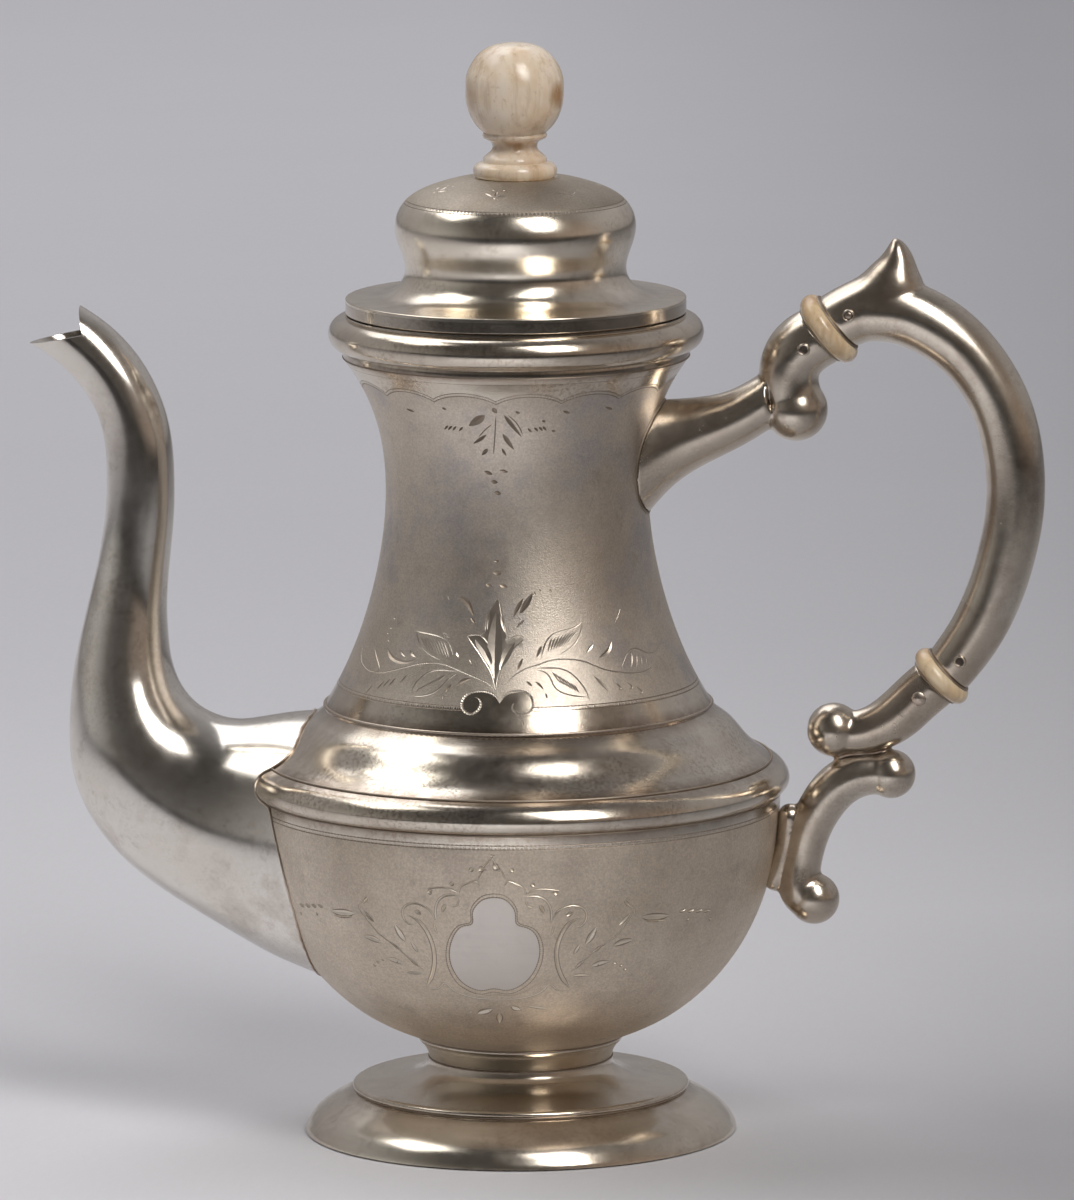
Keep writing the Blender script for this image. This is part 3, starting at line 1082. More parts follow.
N_RING = 160
nv = neck_t.v[-1]
nk_in = offset(curve(NECK), SHEET)
nk_in[0] = (38.0, NECK[0][1])
nk_in[-1] = (33.0, NECK[-1][1])
engraved_piece("neck_raised", neck_t, neck_strokes, neck_region, N_RING, np.linspace(0, nv, 46), 30.0,
               [straight(NECK[-1], nk_in[-1]), nk_in[::-1], straight(nk_in[0], NECK[0])], 0,
               [POLISHED, SATIN_NECK, BRIGHT, LINE], "pot", ["neck"])

V_BOWL_LINE = float(bowl_t.v_of_z(67.3))
bowl_strokes = [milled_line(bowl_t, 67.7, beads=380), milled_line(bowl_t, 66.9, beads=380)]

c_ = Ornament(bowl_t, 380, 840, 4.3556)
MID = bowl_t.hit(380 + 496 / 4.3556, 945.0)[0]
PLATE = [(495, 250), (535, 256), (570, 282), (590, 322), (597, 368), (632, 380), (670, 402), (690, 440), (696, 490), (682, 550), (652, 600),
         (602, 640), (545, 655), (495, 648), (447, 656), (405, 648), (358, 620), (322, 572), (303, 512), (306, 460), (330, 402), (366, 374),
         (399, 366), (402, 322), (420, 284), (455, 257)]


def closed(pts, grow=0.0):
    c = np.mean(np.array(pts, float), 0)
    return [tuple(c + (np.array(p) - c) * (1 + grow)) for p in pts] + [tuple(c + (np.array(pts[0]) - c) * (1 + grow))]


c_.line(closed(PLATE), 0.16, 0.08, 3, taper=False, beads=True)
c_.line(closed(PLATE, 0.075), 0.13, 0.07, 3, taper=False, beads=True)
c_.fill(PLATE, 4)
bowl_strokes += c_.strokes
c_.strokes = []
c_.mirror_at = MID
# the right half is drawn; the left half mirrors it
c_.line([(872, 338), (832, 358), (792, 408), (770, 478), (775, 550), (800, 610), (826, 646)], 0.34, 0.16)
c_.line([(750, 356), (766, 320), (810, 291), (858, 286), (894, 308), (897, 348), (872, 376), (842, 370)], 0.17)
c_.cut([(812, 332), (828, 322), (844, 316)], 0.34)
c_.line([(636, 262), (648, 290), (672, 291)], 0.13)
c_.line([(640, 246), (692, 246), (730, 272), (746, 322), (744, 362)], 0.19)
c_.line([(630, 240), (680, 216), (740, 214), (782, 220)], 0.12)
c_.cut([(696, 282), (706, 300), (716, 322)], 0.30)
c_.cut([(756, 372), (752, 396), (742, 418)], 0.18, 0.1)
c_.line([(526, 128), (546, 172)], 0.10)
c_.line([(540, 204), (554, 182), (592, 190), (624, 208), (638, 244)], 0.14)
c_.dot(575, 132, 12, 7, 0.6)
c_.dot(665, 196, 13, 7, 0.5)
c_.dot(766, 234, 14, 8, 0.1)
# sprig
c_.line([(820, 582), (890, 526), (960, 466), (1030, 416), (1076, 360), (1110, 312), (1064, 262)], 0.10)
for q, w in (([(842, 500), (858, 476), (872, 452)], 0.30), ([(894, 456), (920, 420), (944, 376)], 0.50), ([(848, 562), (872, 540), (896, 520)], 0.28),
             ([(922, 492), (948, 474), (974, 454)], 0.26), ([(918, 552), (960, 536), (1002, 528)], 0.46), ([(838, 592), (876, 588), (914, 590)], 0.30),
             ([(1012, 462), (1056, 444), (1106, 434)], 0.50), ([(1040, 372), (1068, 346), (1092, 318)], 0.30), ([(1064, 262), (1078, 278), (1092, 292)], 0.26),
             ([(1136, 336), (1196, 336), (1262, 328)], 0.62), ([(1150, 350), (1200, 352), (1250, 346)], 0.20)):
    c_.cut(q, w, 0.15)
for x in (1316, 1352, 1388, 1422):
    c_.dot(x, 308, 16, 6, -0.25)
for x, y in ((1340, 344), (1436, 343), (1022, 536), (1048, 546), (1066, 562)):
    c_.dot(x, y, 7, 5, 0.3)
# base of the surround
c_.line([(520, 694), (600, 692), (672, 676), (716, 650), (738, 630), (768, 650), (800, 656), (832, 652)], 0.14)
c_.line([(496, 672), (560, 676), (620, 664), (680, 628)], 0.09)
c_.mirror_at = None
c_.dot(486, 70, 8, 6)
c_.dot(441, 128, 14, 10, -0.3)
c_.dot(503, 118, 15, 11, 0.4)
c_.line([(484, 78), (462, 104), (444, 122)], 0.12)
c_.line([(488, 78), (500, 100), (518, 124)], 0.12)
c_.cut([(424, 756), (456, 748), (492, 736)], 0.62, 0.2)
c_.cut([(520, 752), (521, 774), (521, 798)], 0.48, 0.2)
c_.cut([(614, 742), (590, 734), (570, 722)], 0.50, 0.18)
c_.cut([(740, 734), (690, 730), (640, 722)], 0.30, 0.1)
c_.dot(395, 750, 7, 5)
# each cut has a bright floor between dark edges
for q, h, d, _ in c_.strokes:
    bowl_strokes.append((q, np.asarray(h) * 1.55, d, 3))
    bowl_strokes.append((q, np.asarray(h) * 0.95, d * 2.0, 5))
bowl_fills = c_.fills


def bowl_region(th, v):
    m = np.where(v < V_BOWL_LINE, 1, 0)
    for poly, mi in bowl_fills:
        m[inside(poly, th, v)] = mi
    return m


bowl_out = curve(BOWL)
bw_in = offset(bowl_out, SHEET)
bw_in[0] = (0, BOWL[0][1] + SHEET)
bw_in[-1] = (BOWL[-1][0] - SHEET, BOWL[-1][1])
low = np.concatenate([bowl_out[bowl_out[:, 0] < BOWL[4][0] - 0.2], [bowl_t.q[0]]])
low[0] = (0, BOWL[0][1])
engraved_piece("bowl_raised", bowl_t, bowl_strokes, bowl_region, 192, np.linspace(0, bowl_t.v[-1], 44), 50.0,
               [straight(BOWL[-1], bw_in[-1]), bw_in[::-1], straight(bw_in[0], low[0]), low], 0, [POLISHED, SATIN, BRIGHT, LINE, PLATE_MAT, GLINT], "pot", ["bowl"])

V_LID_LINE = float(lid_t.v_of_z(190.2))
lid_strokes = [milled_line(lid_t, 189.95, 0.13, beads=170), milled_line(lid_t, 190.5, 0.13, beads=170)]


def lid_sprig(th0):
    """Small sprig of three leaves and a bud, seven times round the lid's top."""
    v0 = float(lid_t.v_of_z(193.3))
    r = float(lid_t.rz(v0)[0])

    def leaf(x0, y0, x1, y1, w):
        u = np.linspace(0, 1, 9)
        q = np.stack([th0 + (x0 + (x1 - x0) * u) / r, v0 + y0 + (y1 - y0) * u], 1)
        h = w * np.sin(u * math.pi) ** 0.8
        h[0] = h[-1] = 0
        lid_strokes.append((q, h, 0.13, 2))

    leaf(-2.4, 0.7, -0.5, -0.7, 0.34)
    leaf(0.0, 1.6, 0.15, -0.4, 0.32)
    leaf(2.6, 0.1, 0.6, -0.8, 0.36)
    leaf(-0.2, -1.1, 0.3, -1.7, 0.26)
    leaf(1.1, 2.2, 1.9, 2.5, 0.16)
    leaf(-1.4, 2.0, -0.9, 2.5, 0.16)


for k in range(7):
    th = math.radians(-7.0) + k * 2 * math.pi / 7
    lid_sprig(th if th < SEAM + 2 * math.pi - 0.2 else th - 2 * math.pi)


def lid_region(th, v):
    return np.where(v > V_LID_LINE, 1, 0)


ld_in = offset(curve(LID), LID_SHEET)
ld_in[0] = (LID[0][0], 169.93)
ld_in[-1] = (8.6, 194.2)
engraved_piece("lid_dome_raised", lid_t, lid_strokes, lid_region, N_RING, np.linspace(0, lid_t.v[-1], 60), 20.0,
               [straight((8.6, 195.0), (2.05, 195.0)), straight((2.05, 195.0), (2.05, 194.2)), straight((2.05, 194.2), (8.6, 194.2)),
                ld_in[::-1], straight(ld_in[0], (34.4, 169.93)), straight((34.4, 169.93), (34.4, 170.45)),
                arc_pts((34.15, 170.45), 0.25, 0, 90, 8)], 0,
               [LID_MAT, SATIN_LID, BRIGHT, LINE], "lid", ["lid_dome"])

g = curve(GIRDLE, 0.25)
g[:, 0] = np.minimum(g[:, 0], 54.94)
lathe("girdle_bead", [g, straight(g[-1], (53.13, 69.75)), straight((53.13, 69.75), (53.13, 72.03)),
                      straight((53.13, 72.03), (50.8, 72.03)), straight((50.8, 72.03), (50.8, 75.5)), straight((50.8, 75.5), g[0])],
      [POLISHED], "pot", ["girdle_moulding"])

sh = curve(SHOULDER, 0.3)
sh_in = offset(sh, -SHEET)
sh_in[-1] = (50.72, 75.6)
lathe("shoulder_dome", [sh, straight(sh[-1], sh_in[-1]), sh_in[::-1], straight(sh_in[0], (38.2, 87.82)),
                        straight((38.2, 87.82), (39.15, 87.82)), straight((39.15, 87.82), sh[0])],
      [POLISHED], "pot", ["shoulder"])

RB, RZ0, RC, RT, RH = 34.85, 157.45, (34.5, 163.55), 3.4, 167.35
a0 = math.degrees(math.asin(-math.sqrt(RT ** 2 - 0.35 ** 2) / RT))
tor = arc_pts(RC, RT, a0, 90.0 + math.degrees(0.1 / RT), 60)
zb = tor[0][1]
ti = RT - SHEET
tin = arc_pts(RC, ti, 90, -math.degrees(math.acos(-0.5 / ti)), 40)
lathe("rim_roll", [straight((33.7, RZ0), (34.14, RZ0)), straight((34.14, RZ0), (34.62, 158.15), (34.98, 158.75)),
                   straight((34.98, 158.75), (35.0, 158.85), (35.0, 160.0), (34.95, zb)), straight((34.95, zb), tor[0]), tor,
                   straight(tor[-1], (tor[-1][0], RH)), straight((tor[-1][0], RH), (31.6, RH)), straight((31.6, RH), (31.6, RH - 1.3)),
                   straight((31.6, RH - 1.3), tin[0]), tin, straight(tin[-1], (33.7, tin[-1][1] - 0.3)),
                   straight((33.7, tin[-1][1] - 0.3), (33.7, RZ0))], [POLISHED], "pot", ["rim_moulding"])

co = curve(COLLAR, 0.15)
lathe("foot_collar_ring", [co, straight(co[-1], (17.75, 14.9)), straight((17.75, 14.9), (17.75, 18.58)), straight((17.75, 18.58), co[0])],
      [SOFT], "pot", ["foot_collar"])

st = curve(STEM, 0.2)
st_in = offset(st[:-14], -SHEET)
st_in[0] = (17.7, 14.85)
lip = curve([STEM[-1], (33.75, 9.72), (34.2, 9.3), (34.2, 8.85), (33.9, 8.53)], 0.08)
lathe("foot_trumpet", [np.concatenate([st, lip[1:]]), straight(lip[-1], (st_in[-1][0], 8.53)), straight((st_in[-1][0], 8.53), st_in[-1]),
                       st_in[::-1], straight(st_in[0], STEM[0])], [SOFT], "pot", ["foot_stem"])

sk = curve(SKIRT, 0.2)
sk_in = offset(sk, -SHEET)
sk_in[0] = (33.2, 7.7)
sk_in[-1] = (43.0, 0)
lathe("foot_skirt", [sk, straight(sk[-1], sk_in[-1]), sk_in[::-1], straight(sk_in[0], (30.5, 7.7)), straight((30.5, 7.7), (30.5, 8.5)),
                     straight((30.5, 8.5), sk[0])], [SOFT], "pot", ["foot_base"])

lathe("lid_flange", [straight((31.33, 167.65), (34.2, 167.65)), arc_pts((34.2, 167.85), 0.2, -90, 0, 6), straight((34.4, 167.85), (34.4, 169.9)),
                     straight((34.4, 169.9), (31.33, 169.9)), straight((31.33, 169.9), (31.33, 167.65))],
      [POLISHED], "lid", ["lid_flange_ring"])
lathe("lid_sleeve", [straight((30.5, 158.9), (31.0, 158.9)), straight((31.0, 158.9), (31.3, 159.5)), straight((31.3, 159.5), (31.3, 169.9)),
                     straight((31.3, 169.9), (30.5, 169.9)), straight((30.5, 169.9), (30.5, 158.9))],
      [POLISHED], "lid", ["lid_bezel"])

lathe("finial", [curve(KNOB_LOW, 0.12), curve(KNOB_MID, 0.12), curve(KNOB_RING, 0.06), curve(KNOB_BALL, 0.2),
                 straight((0, 222.25), (0, 207.3)), straight((0, 207.3), (1.95, 207.3)), straight((1.95, 207.3), (1.95, 195.05)),
                 straight((1.95, 195.05), (7.9, 195.05))], [BONE], "lid", ["knob"], n=128)


# ------------------------------------------------------------------ spout
def envelope_table():
    """Outer radius of the body against height, for trimming what is soldered to it."""
    prof = np.concatenate([curve(BOWL[:-1]), curve(GIRDLE)[::-1], curve(SHOULDER)[::-1], curve(NECK)])
    zz, rr = prof[:, 1], prof[:, 0]
    grid = np.linspace(16, 157, 1400)
    out = np.zeros_like(grid)
    for i in range(len(prof) - 1):
        lo, hi = min(zz[i], zz[i + 1]), max(zz[i], zz[i + 1])
        k = (grid >= lo - 0.06) & (grid <= hi + 0.06)
        out[k] = np.maximum(out[k], max(rr[i], rr[i + 1]))
    return grid, out


ENV_Z, ENV_R = envelope_table()


def envelope_r(z):
    return np.interp(z, ENV_Z, ENV_R)


class Chords:
    """Smooth run of elliptic sections between a lower and an upper outline."""

    def __init__(self, st):
        self.sp = Spline([(a[0], a[1], b[0], b[1], w) for a, b, w in st])
        self.end = self.sp.t[-1]

    def at(self, s, th, shrink=0.0):
        q = self.sp(s)
        c = (q[..., 0:2] + q[..., 2:4]) / 2
        d = q[..., 2:4] - q[..., 0:2]
        a = np.linalg.norm(d, axis=-1) / 2
        u = d / (2 * a)[..., None]
        a, w = a - shrink, q[..., 4] - shrink
        x = c[..., 0] + u[..., 0] * a * np.cos(th)
        z = c[..., 1] + u[..., 1] * a * np.cos(th)
        return np.stack([x, w * np.sin(th), z], -1)


def trim(ch, th, shrink, inside, s_from, s_to, steps=2600):
    """First s from s_from towards s_to where the line at angle th meets the test."""
    s = np.linspace(s_from, s_to, steps)
    p = ch.at(s, np.full(steps, th), shrink)
    ok = inside(p)
    return s[int(np.argmax(ok))] if ok.any() else s_to


def in_body(p):
    return np.hypot(p[:, 0], p[:, 1]) < envelope_r(p[:, 2]) + 0.02


def in_beak(p):
    k = (BEAK_NOTCH[1] - BEAK_LIP[1]) / (BEAK_NOTCH[0] - BEAK_LIP[0])
    over = p[:, 2] > BEAK_NOTCH[1] + (p[:, 0] - BEAK_NOTCH[0]) * k
    m = (BEAK_TONGUE[0] - BEAK_NOTCH[0]) / (BEAK_TONGUE[1] - BEAK_NOTCH[1])
    left = p[:, 0] < BEAK_NOTCH[0] + (p[:, 2] - BEAK_NOTCH[1]) * m
    return over & left


sp = Chords(SPOUT)
n_th, n_s = 144, 220
ths = np.arange(n_th) * 2 * math.pi / n_th
outer, inner = np.zeros((n_s, n_th, 3)), np.zeros((n_s, n_th, 3))
mid_s = sp.end * 0.55
for j, th in enumerate(ths):
    for arr, shr in ((outer, 0.0), (inner, SPOUT_WALL)):
        s0 = trim(sp, th, shr, in_body, mid_s, 0.0)
        s1 = trim(sp, th, shr, in_beak, mid_s, sp.end)
        arr[:, j] = sp.at(np.linspace(s0, s1, n_s), np.full(n_s, th), shr)
v = np.concatenate([outer.reshape(-1, 3), inner.reshape(-1, 3)])
f = grid_faces(n_s, n_th) + [tuple(reversed(t)) for t in grid_faces(n_s, n_th, base=n_s * n_th)]
sharp = []
B = n_s * n_th
for j in range(n_th):
    k = (j + 1) % n_th
    o0, o1, i0, i1 = (n_s - 1) * n_th + j, (n_s - 1) * n_th + k, B + (n_s - 1) * n_th + j, B + (n_s - 1) * n_th + k
    f.append((o0, o1, i1, i0))
    f.append((k, j, B + j, B + k))
    sharp += [(o0, o1), (i0, i1), (j, k), (B + j, B + k)]
p0 = np.array([v[list(q[:3])] for q in f[:n_th]])
nr = np.cross(p0[:, 1] - p0[:, 0], p0[:, 2] - p0[:, 0])
if np.sum((p0.mean(1) - outer[0].mean(0)) * nr) < 0:
    f = [tuple(reversed(q)) for q in f]
new_piece("spout_shell", v, f, [SPOUT_MAT], "pot", ["spout_near_half", "spout_far_half"], sharp=sharp)

# ------------------------------------------------------------------ handle
up_d, lo_d = np.array(UPPER_RING[1]), np.array(LOWER_RING[1])


def face_of(spec, side, r):
    s = side * (spec[3] / 2 + 0.03)
    return (spec[0][0] + spec[1][0] * s, spec[0][1] + spec[1][1] * s, r)


# the thumb spur: the handle's first stretch runs up into a horn, and the grip's tube springs from its back
horn = Chords(HORN)
th96 = np.arange(96) * 2 * math.pi / 96
hs = np.linspace(0, horn.end, 130)
path = [(66.4, 166.9, 5.8), (69.0, 167.9, 6.0), (71.6, 168.5, 6.15), (74.8, 168.65, 6.35)] + GRIP[3:] + [face_of(LOWER_RING, 1, 5.3)]
fuse("grip_tube", [ring_mesh(np.array([horn.at(np.full(96, q), th96) for q in hs]))[:2], ring_mesh(tube_rings(path, n=96, step=0.4, last=-lo_d))[:2]],
     [HANDLE], "pot", ["handle_grip"], rounds=36)


up_sock = ring_mesh(tube_rings([face_of(UPPER_RING, -1, 6.3), (58.0, 161.1, 6.4), (55.7, 157.6, 6.2), (55.35, 154.2, 5.95), (56.2, 150.6, 5.75)],
                               first=-up_d, round_end=True))[:2]
lo_sock = ring_mesh(tube_rings([face_of(LOWER_RING, -1, 5.3), (80.9, 89.65, 5.25), (76.3, 85.5, 5.2), (72.4, 83.4, 4.75), (69.2, 82.6, 4.4), (66.4, 82.6, 4.4)],
                               first=-lo_d, round_end=True))[:2]
arm = ring_mesh(tube_rings([(74.6, 74.15, 4.2), (70.6, 74.0, 4.4), (66.6, 72.6, 4.75), (62.1, 68.0, 4.6), (59.4, 62.6, 4.3), (57.9, 57.0, 4.0),
                            (57.2, 52.8, 4.3), (57.9, 49.6, 4.75), (60.0, 48.3, 4.75)], round_end=True, round_start=True))[:2]
weld = ring_mesh(tube_rings([(65.8, 77.7, 1.6), (69.6, 78.2, 2.0), (73.6, 78.9, 1.6)], n=32, round_end=True, round_start=True))[:2]
# upright rod of the handle's lower joint, soldered between bracket and bowl
pr = tube_rings([(55.3, 65.2, 2.5), (55.0, 61.5, 2.5), (53.9, 56.5, 2.5), (52.4, 52.2, 2.6)], n=48, step=0.4, round_end=True, round_start=True)
pr[:, :, 1] *= 1.2
fuse("lower_joint", [lo_sock, arm, weld, ring_mesh(pr)[:2], ball_mesh((64.25, 83.0), 5.5), ball_mesh((75.85, 74.1), 5.0), ball_mesh((60.15, 48.2), 5.2)],
     [HANDLE], "pot", ["lower_scroll", "lower_bracket", "handle_pad"], rounds=34)

stub = Chords(UPPER_STUB)
rings = np.zeros((60, 72, 3))
th72 = np.arange(72) * 2 * math.pi / 72
for j, th in enumerate(th72):
    s0 = trim(stub, th, 0.0, in_body, stub.end, 0.0)
    rings[:, j] = stub.at(np.linspace(s0, stub.end, 60), np.full(60, th))
fuse("upper_joint", [up_sock, ring_mesh(rings)[:2], ball_mesh((56.75, 148.35), 6.4)], [HANDLE], "pot", ["upper_handle_stub", "upper_scroll"],
     rounds=30)


def bone_ring(name, spec, node):
    h, r = spec[3] / 2, spec[2]
    edge = arc_pts((r - h * 0.95, 0), h, -90, 90, 28)
    edge[:, 0] = r - h * 0.95 + (edge[:, 0] - (r - h * 0.95)) * 0.95
    lathe(name, [straight((0, -h), edge[0]), edge, straight(edge[-1], (0, h)), straight((0, h), (0, -h))], [RING_BONE], "pot", [node],
          n=96, place=(spec[0], spec[1]))
    for k, way in enumerate((-1, 1)):
        q = spec[3] / 2 + 0.04
        c = (spec[0][0] + spec[1][0] * way * q, spec[0][1] + spec[1][1] * way * q)
        rr_ = (r - h * 0.95) + 0.42
        lathe("%s_joint_%d" % (name, k), [straight((0, -0.22), (rr_, -0.22)), arc_pts((rr_, 0), 0.22, -90, 90, 8), straight((rr_, 0.22), (0, 0.22)),
                                           straight((0, 0.22), (0, -0.22))], [LINE], "pot", [], n=72, place=(c, spec[1]))


bone_ring("upper_bone_ring", UPPER_RING, "upper_insulator")
bone_ring("lower_bone_ring", LOWER_RING, "lower_insulator")



def pin_pair(name, spec, halves, kinds, node):
    """Two cross pins; each end is a dark dished hole in a small raised rim, or a lump of solder."""
    V, F, M = [], [], []
    for side, half, kind in zip((-1, 1), halves, kinds):
        cx, cz = (spec[0][i] + spec[1][i] * PIN_AT * side for i in (0, 1))
        R = half + 0.27
        if kind == "hole":
            end = [(0.0, R - 0.16), (0.55, R - 0.16), (0.76, R - 0.10), (0.84, R + 0.02), (0.98, R + 0.08), (1.12, R + 0.02), (1.26, R - 0.18), (1.36, R - 0.8)]
        elif kind == "pin":
            end = [(0.0, R + 0.02), (0.40, R - 0.02), (0.66, R - 0.10), (0.74, R - 0.20), (0.84, R - 0.16), (0.92, R + 0.02), (1.06, R + 0.06), (1.22, R - 0.12),
                   (1.30, R - 0.8)]
        else:
            end = [(0.0, R + 0.02), (0.40, R + 0.0), (0.80, R - 0.08), (1.15, R - 0.20), (1.45, R - 0.36), (1.60, R - 0.8)]
        prof = [(a_, z_) for a_, z_ in end] + [(a_, -z_) for a_, z_ in reversed(end)]
        v, f, _ = lathe_mesh([np.array(prof)], 40, closed=False)
        # the pin's axis lies along Y
        w_ = np.stack([v[:, 0] + cx, v[:, 2], v[:, 1] + cz], 1)
        base = len(V)
        V.extend(w_)
        for q in f:
            F.append(tuple(base + i for i in q))
            rad = np.hypot(v[list(q), 0], v[list(q), 1]).mean()
            M.append(2 if kind == "lump" else 0 if rad > 0.83 else 1 if kind == "hole" or rad > 0.66 else 2)
    V = np.array(V)
    q = np.array([V[list(t_[:3])] for t_ in F[-40:]])
    if np.sum(np.cross(q[:, 1] - q[:, 0], q[:, 2] - q[:, 0])[:, 1] * np.sign(q[:, :, 1].mean(1))) < 0:
        F = [tuple(reversed(t_)) for t_ in F]
    new_piece(name, V, F, [HANDLE, DARK, SOLDER], "pot", [node], mat_index=M)


pin_pair("upper_pins", UPPER_RING, (6.38, 6.2), ("hole", "pin"), "upper_insulator_pins")
pin_pair("lower_pins", LOWER_RING, (5.27, 5.42), ("lump", "hole"), "lower_insulator_pins")


def bead(name, loop, radius, mat, n=14):
    """Closed bead of solder along a loop of points."""
    P_ = np.array(loop, float)
    T = np.roll(P_, -1, 0) - np.roll(P_, 1, 0)
    T /= np.maximum(np.linalg.norm(T, axis=1), 1e-9)[:, None]
    u = unit(np.cross(T[0], (0.3, 0.5, 0.8)))
    rings_ = []
    for i in range(len(P_)):
        u = unit(u - T[i] * np.dot(u, T[i]))
        w_ = np.cross(T[i], u)
        a_ = np.arange(n) * 2 * math.pi / n
        rings_.append(P_[i] + radius * (np.cos(a_)[:, None] * u + np.sin(a_)[:, None] * w_))
    # the last ring meets the first with the nearest start
    first, last = rings_[0], rings_[-1]
    k = int(np.argmin([np.linalg.norm(np.roll(first, -j, 0) - last) for j in range(n)]))
    m_ = len(rings_)
    V = np.concatenate(rings_)
    F = []
    for i in range(m_):
        for j in range(n):
            j2 = (j + 1) % n
            if i < m_ - 1:
                F.append((i * n + j, i * n + j2, (i + 1) * n + j2, (i + 1) * n + j))
            else:
                F.append((i * n + j, i * n + j2, (j2 + k) % n, (j + k) % n))
    q = np.array([V[list(t_[:3])] for t_ in F[:n]])
    nr_ = np.cross(q[:, 1] - q[:, 0], q[:, 2] - q[:, 0])
    if np.sum((q.mean(1) - P_[0]) * nr_) < 0:
        F = [tuple(reversed(t_)) for t_ in F]
    return new_piece(name, V, F, [mat], "pot", [])


bead("spout_seam", outer[0], 0.26, SOLDER)
bead("neck_arm_seam", rings[0], 0.26, LINE)
n = 420
a_ = np.arange(n) * 2 * math.pi / n
wob = 39.2 + 0.10 * np.where(np.arange(n) % 2 == 0, 1, -1)
bead("neck_seam", np.stack([wob * np.cos(a_), wob * np.sin(a_), np.full(n, 87.72)], 1), 0.30, SOLDER, n=10)

for nm, rr_, zz_, tt_ in (("girdle_top_joint", 51.36, 76.40, 0.24), ("girdle_low_joint", 53.16, 69.66, 0.22), ("rim_low_joint", 34.98, 158.78, 0.16),
                          ("collar_top_joint", 21.0, 19.55, 0.24), ("collar_low_joint", 18.72, 14.87, 0.16), ("disc_joint", 33.8, 8.48, 0.22)):
    lathe(nm, [arc_pts((rr_, zz_), tt_, 0, 360, 13)], [LINE], "pot", [], n=192)

for o in ("foot_ring_wire",):
    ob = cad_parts[o]
    ob.data.materials.clear()
    ob.data.materials.append(POLISHED)
for o in ("knob_stud", "knob_washer", "knob_nut"):
    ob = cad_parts[o]
    ob.data.materials.clear()
    ob.data.materials.append(DARK)

# ------------------------------------------------------------------ floor and light
fl = bpy.data.meshes.new("floor")
S = 9.0
fl.from_pydata([(-S, -S, -0.0003), (S, -S, -0.0003), (S, S, -0.0003), (-S, S, -0.0003)], [], [(0, 1, 2, 3)])
floor = bpy.data.objects.new("floor", fl)
bpy.context.scene.collection.objects.link(floor)
m, nt, b = material("floor_paper")
n1 = noise(nt, 9.0, 6.0, 0.6)
tone = ramp(nt, n1.outputs["Fac"], [(0.3, (0.69, 0.69, 0.727, 1)), (0.7, (0.70, 0.70, 0.737, 1))])
# fine fibres of the paper
n2 = noise(nt, 700.0, 4.0, 0.6, stretch=(1.0, 0.25, 1.0))
fib = ramp(nt, n2.outputs["Fac"], [(0.35, grey(0.985)), (0.65, grey(1.0))])
col = mix(nt, tone.outputs["Color"], fib.outputs["Color"], 1.0, "MULTIPLY")
co_ = add(nt, "ShaderNodeTexCoord")
mp = add(nt, "ShaderNodeMapping")
mp.inputs["Rotation"].default_value = (0, 0, math.radians(-6.9))
nt.links.new(co_.outputs["Object"], mp.inputs["Vector"])
sp_ = add(nt, "ShaderNodeSeparateXYZ")
nt.links.new(mp.outputs["Vector"], sp_.inputs["Vector"])


def fade(sock, lo_, hi_, stops):
    mr = add(nt, "ShaderNodeMapRange")
    mr.inputs["From Min"].default_value = lo_
    mr.inputs["From Max"].default_value = hi_
    nt.links.new(sock, mr.inputs["Value"])
    return ramp(nt, mr.outputs["Result"], [((q - lo_) / (hi_ - lo_), grey(c)) for q, c in stops]).outputs["Color"]


# the paper falls off into the dark room in front and a little towards the right
col = mix(nt, col, fade(sp_.outputs["X"], -0.5, 1.5, [(-0.5, 1.0), (-0.02, 1.0), (0.10, 0.86), (0.18, 0.74), (0.5, 0.64), (1.5, 0.54)]), 1.0, "MULTIPLY")
seen = add(nt, "ShaderNodeLightPath")
turn_ = add(nt, "ShaderNodeMath", operation="SUBTRACT")
turn_.inputs[0].default_value = 1.0
nt.links.new(seen.outputs["Is Camera Ray"], turn_.inputs[1])
away = turn_.outputs["Value"]
near = fade(sp_.outputs["Y"], -1.5, 1.0, [(-1.5, 1.0), (0.0, 1.0), (0.24, 0.0), (1.0, 0.0)])
shade = fade(sp_.outputs["X"], -0.5, 1.5, [(-0.5, 1.0), (0.0, 1.0), (0.04, 0.95), (0.10, 0.68), (0.18, 0.62), (1.5, 0.6)])
col = mix(nt, col, mix(nt, grey(1.0), shade, near), 1.0, "MULTIPLY")
col = mix(nt, col, fade(sp_.outputs["Y"], -1.5, 0.0, [(-1.5, 0.07), (-0.60, 0.10), (-0.51, 0.92), (-0.3, 1.0), (0.0, 1.0)]), away, "MULTIPLY")
nt.links.new(col, b.inputs["Base Color"])
b.inputs["Roughness"].default_value = 0.75
fl.materials.append(m)


def area(name, pos, aim, sx, sy, watts, col=(1, 1, 1), spread=180.0):
    d = bpy.data.lights.new(name, "AREA")
    d.shape = "RECTANGLE"
    d.size, d.size_y = sx, sy
    d.energy = watts
    d.spread = math.radians(spread)
    d.color = col
    o = bpy.data.objects.new(name, d)
    bpy.context.scene.collection.objects.link(o)
    o.location = pos
    o.rotation_mode = "QUATERNION"
    o.rotation_quaternion = (Vector(aim) - Vector(pos)).to_track_quat("-Z", "Y")
    return o


def polar(az, el, d):
    """Place at azimuth az from the front (towards the handle) and elevation el, as seen from the pot."""
    a_, e_ = math.radians(az), math.radians(el)
    return (d * math.cos(e_) * math.sin(a_), -d * math.cos(e_) * math.cos(a_), d * math.sin(e_) + 0.1)


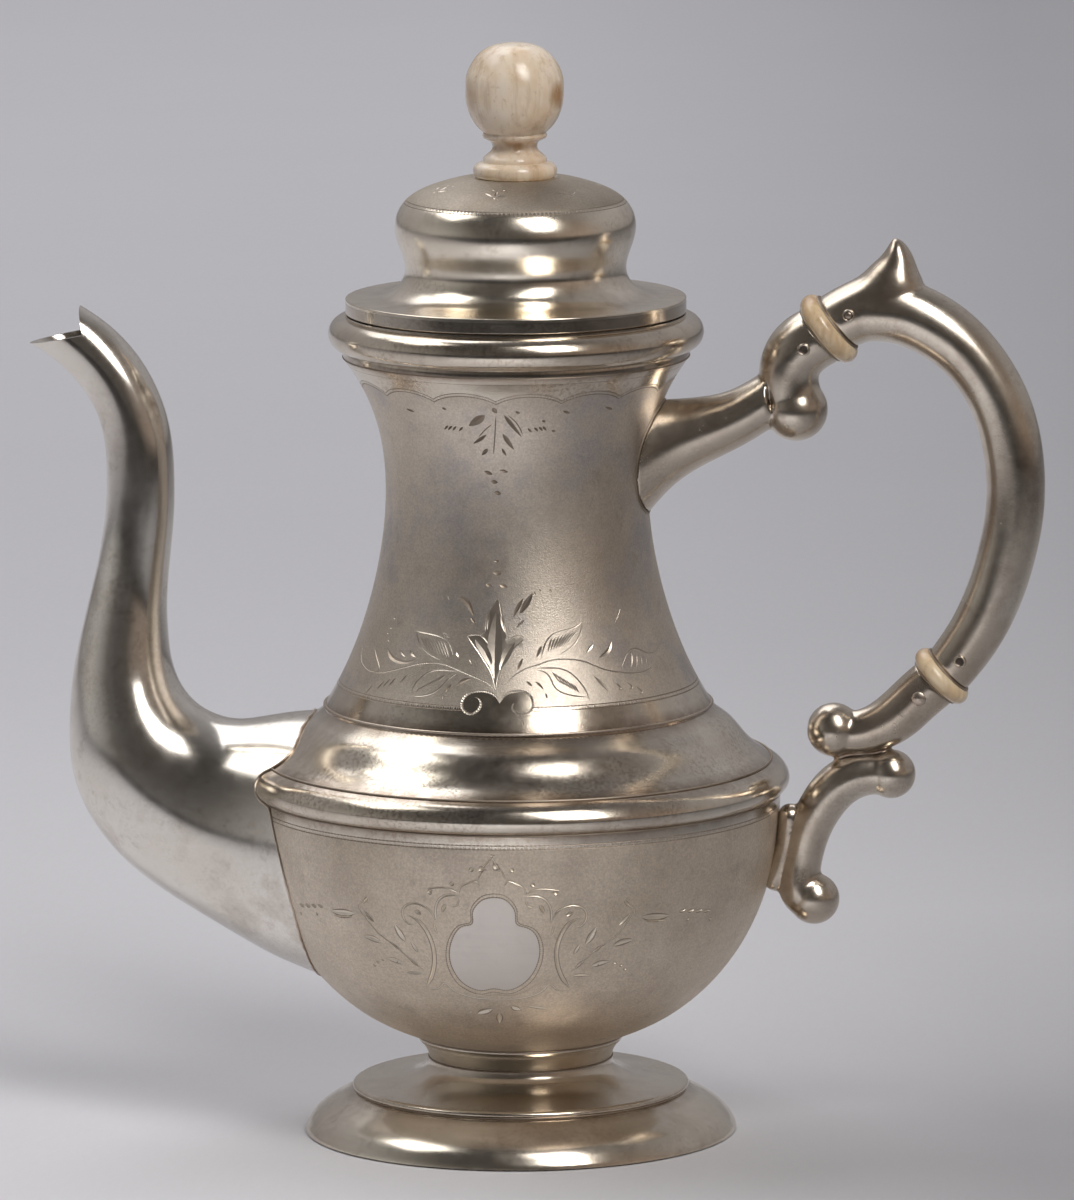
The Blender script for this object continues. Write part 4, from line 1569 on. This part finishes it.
area("key", polar(-86, 55, 1.35), (-0.03, -0.10, 0.06), 0.62, 0.50, 0.47, (1.0, 0.985, 0.95), 70)
area("front", polar(34, 44, 1.35), (0.0, -0.10, 0.06), 0.45, 1.00, 1.75, (1.0, 0.98, 0.955), 64)
area("back_floor", (-0.9, 1.7, 2.3), (-0.5, 1.5, 0.0), 2.4, 2.0, 17.2, (0.98, 0.98, 1.0), 120)
area("front_floor", (0.10, -0.62, 1.5), (0.0, -0.37, 0.0), 0.1, 0.1, 0.21, (1.0, 0.99, 0.97), 20)

w = bpy.data.worlds.new("studio")
bpy.context.scene.world = w
w.use_nodes = True
nt = w.node_tree
nt.nodes.clear()
out = nt.nodes.new("ShaderNodeOutputWorld")
bg = nt.nodes.new("ShaderNodeBackground")
co_ = nt.nodes.new("ShaderNodeTexCoord")
sep = nt.nodes.new("ShaderNodeSeparateXYZ")
nt.links.new(co_.outputs["Generated"], sep.inputs["Vector"])


def axis_ramp(sock, stops):
    mr = nt.nodes.new("ShaderNodeMapRange")
    mr.inputs["From Min"].default_value = -1.0
    mr.inputs["From Max"].default_value = 1.0
    nt.links.new(sock, mr.inputs["Value"])
    return ramp(nt, mr.outputs["Result"], [((v + 1) / 2, c) for v, c in stops]).outputs["Color"]


side = axis_ramp(sep.outputs["X"], [(-1.0, (0.43, 0.42, 0.41, 1)), (-0.8, (0.29, 0.28, 0.27, 1)), (-0.55, (0.13, 0.122, 0.115, 1)), (-0.2, (0.085, 0.078, 0.074, 1)),
                                    (0.3, (0.085, 0.074, 0.065, 1)), (0.6, (0.21, 0.168, 0.14, 1)), (1.0, (0.33, 0.27, 0.228, 1))])
back = axis_ramp(sep.outputs["Y"], [(-0.25, grey(0.0)), (0.25, grey(0.75)), (0.7, grey(1.0))])
height = axis_ramp(sep.outputs["Z"], [(0.0, grey(1.0)), (0.5, grey(0.75)), (0.95, grey(0.42))])
wall = axis_ramp(sep.outputs["Z"], [(0.0, (0.27, 0.26, 0.26, 1)), (0.22, (0.32, 0.31, 0.315, 1)), (0.5, (0.38, 0.37, 0.38, 1)), (0.95, (0.26, 0.255, 0.26, 1))])
col = mix(nt, side, height, 1.0, "MULTIPLY")
col = mix(nt, col, wall, back)
seen = nt.nodes.new("ShaderNodeLightPath")
col = mix(nt, col, (0.40, 0.40, 0.42, 1), seen.outputs["Is Camera Ray"])
nt.links.new(col, bg.inputs["Color"])
bg.inputs["Strength"].default_value = 1.0
nt.links.new(bg.outputs["Background"], out.inputs["Surface"])

bpy.context.scene.view_settings.view_transform = "Standard"
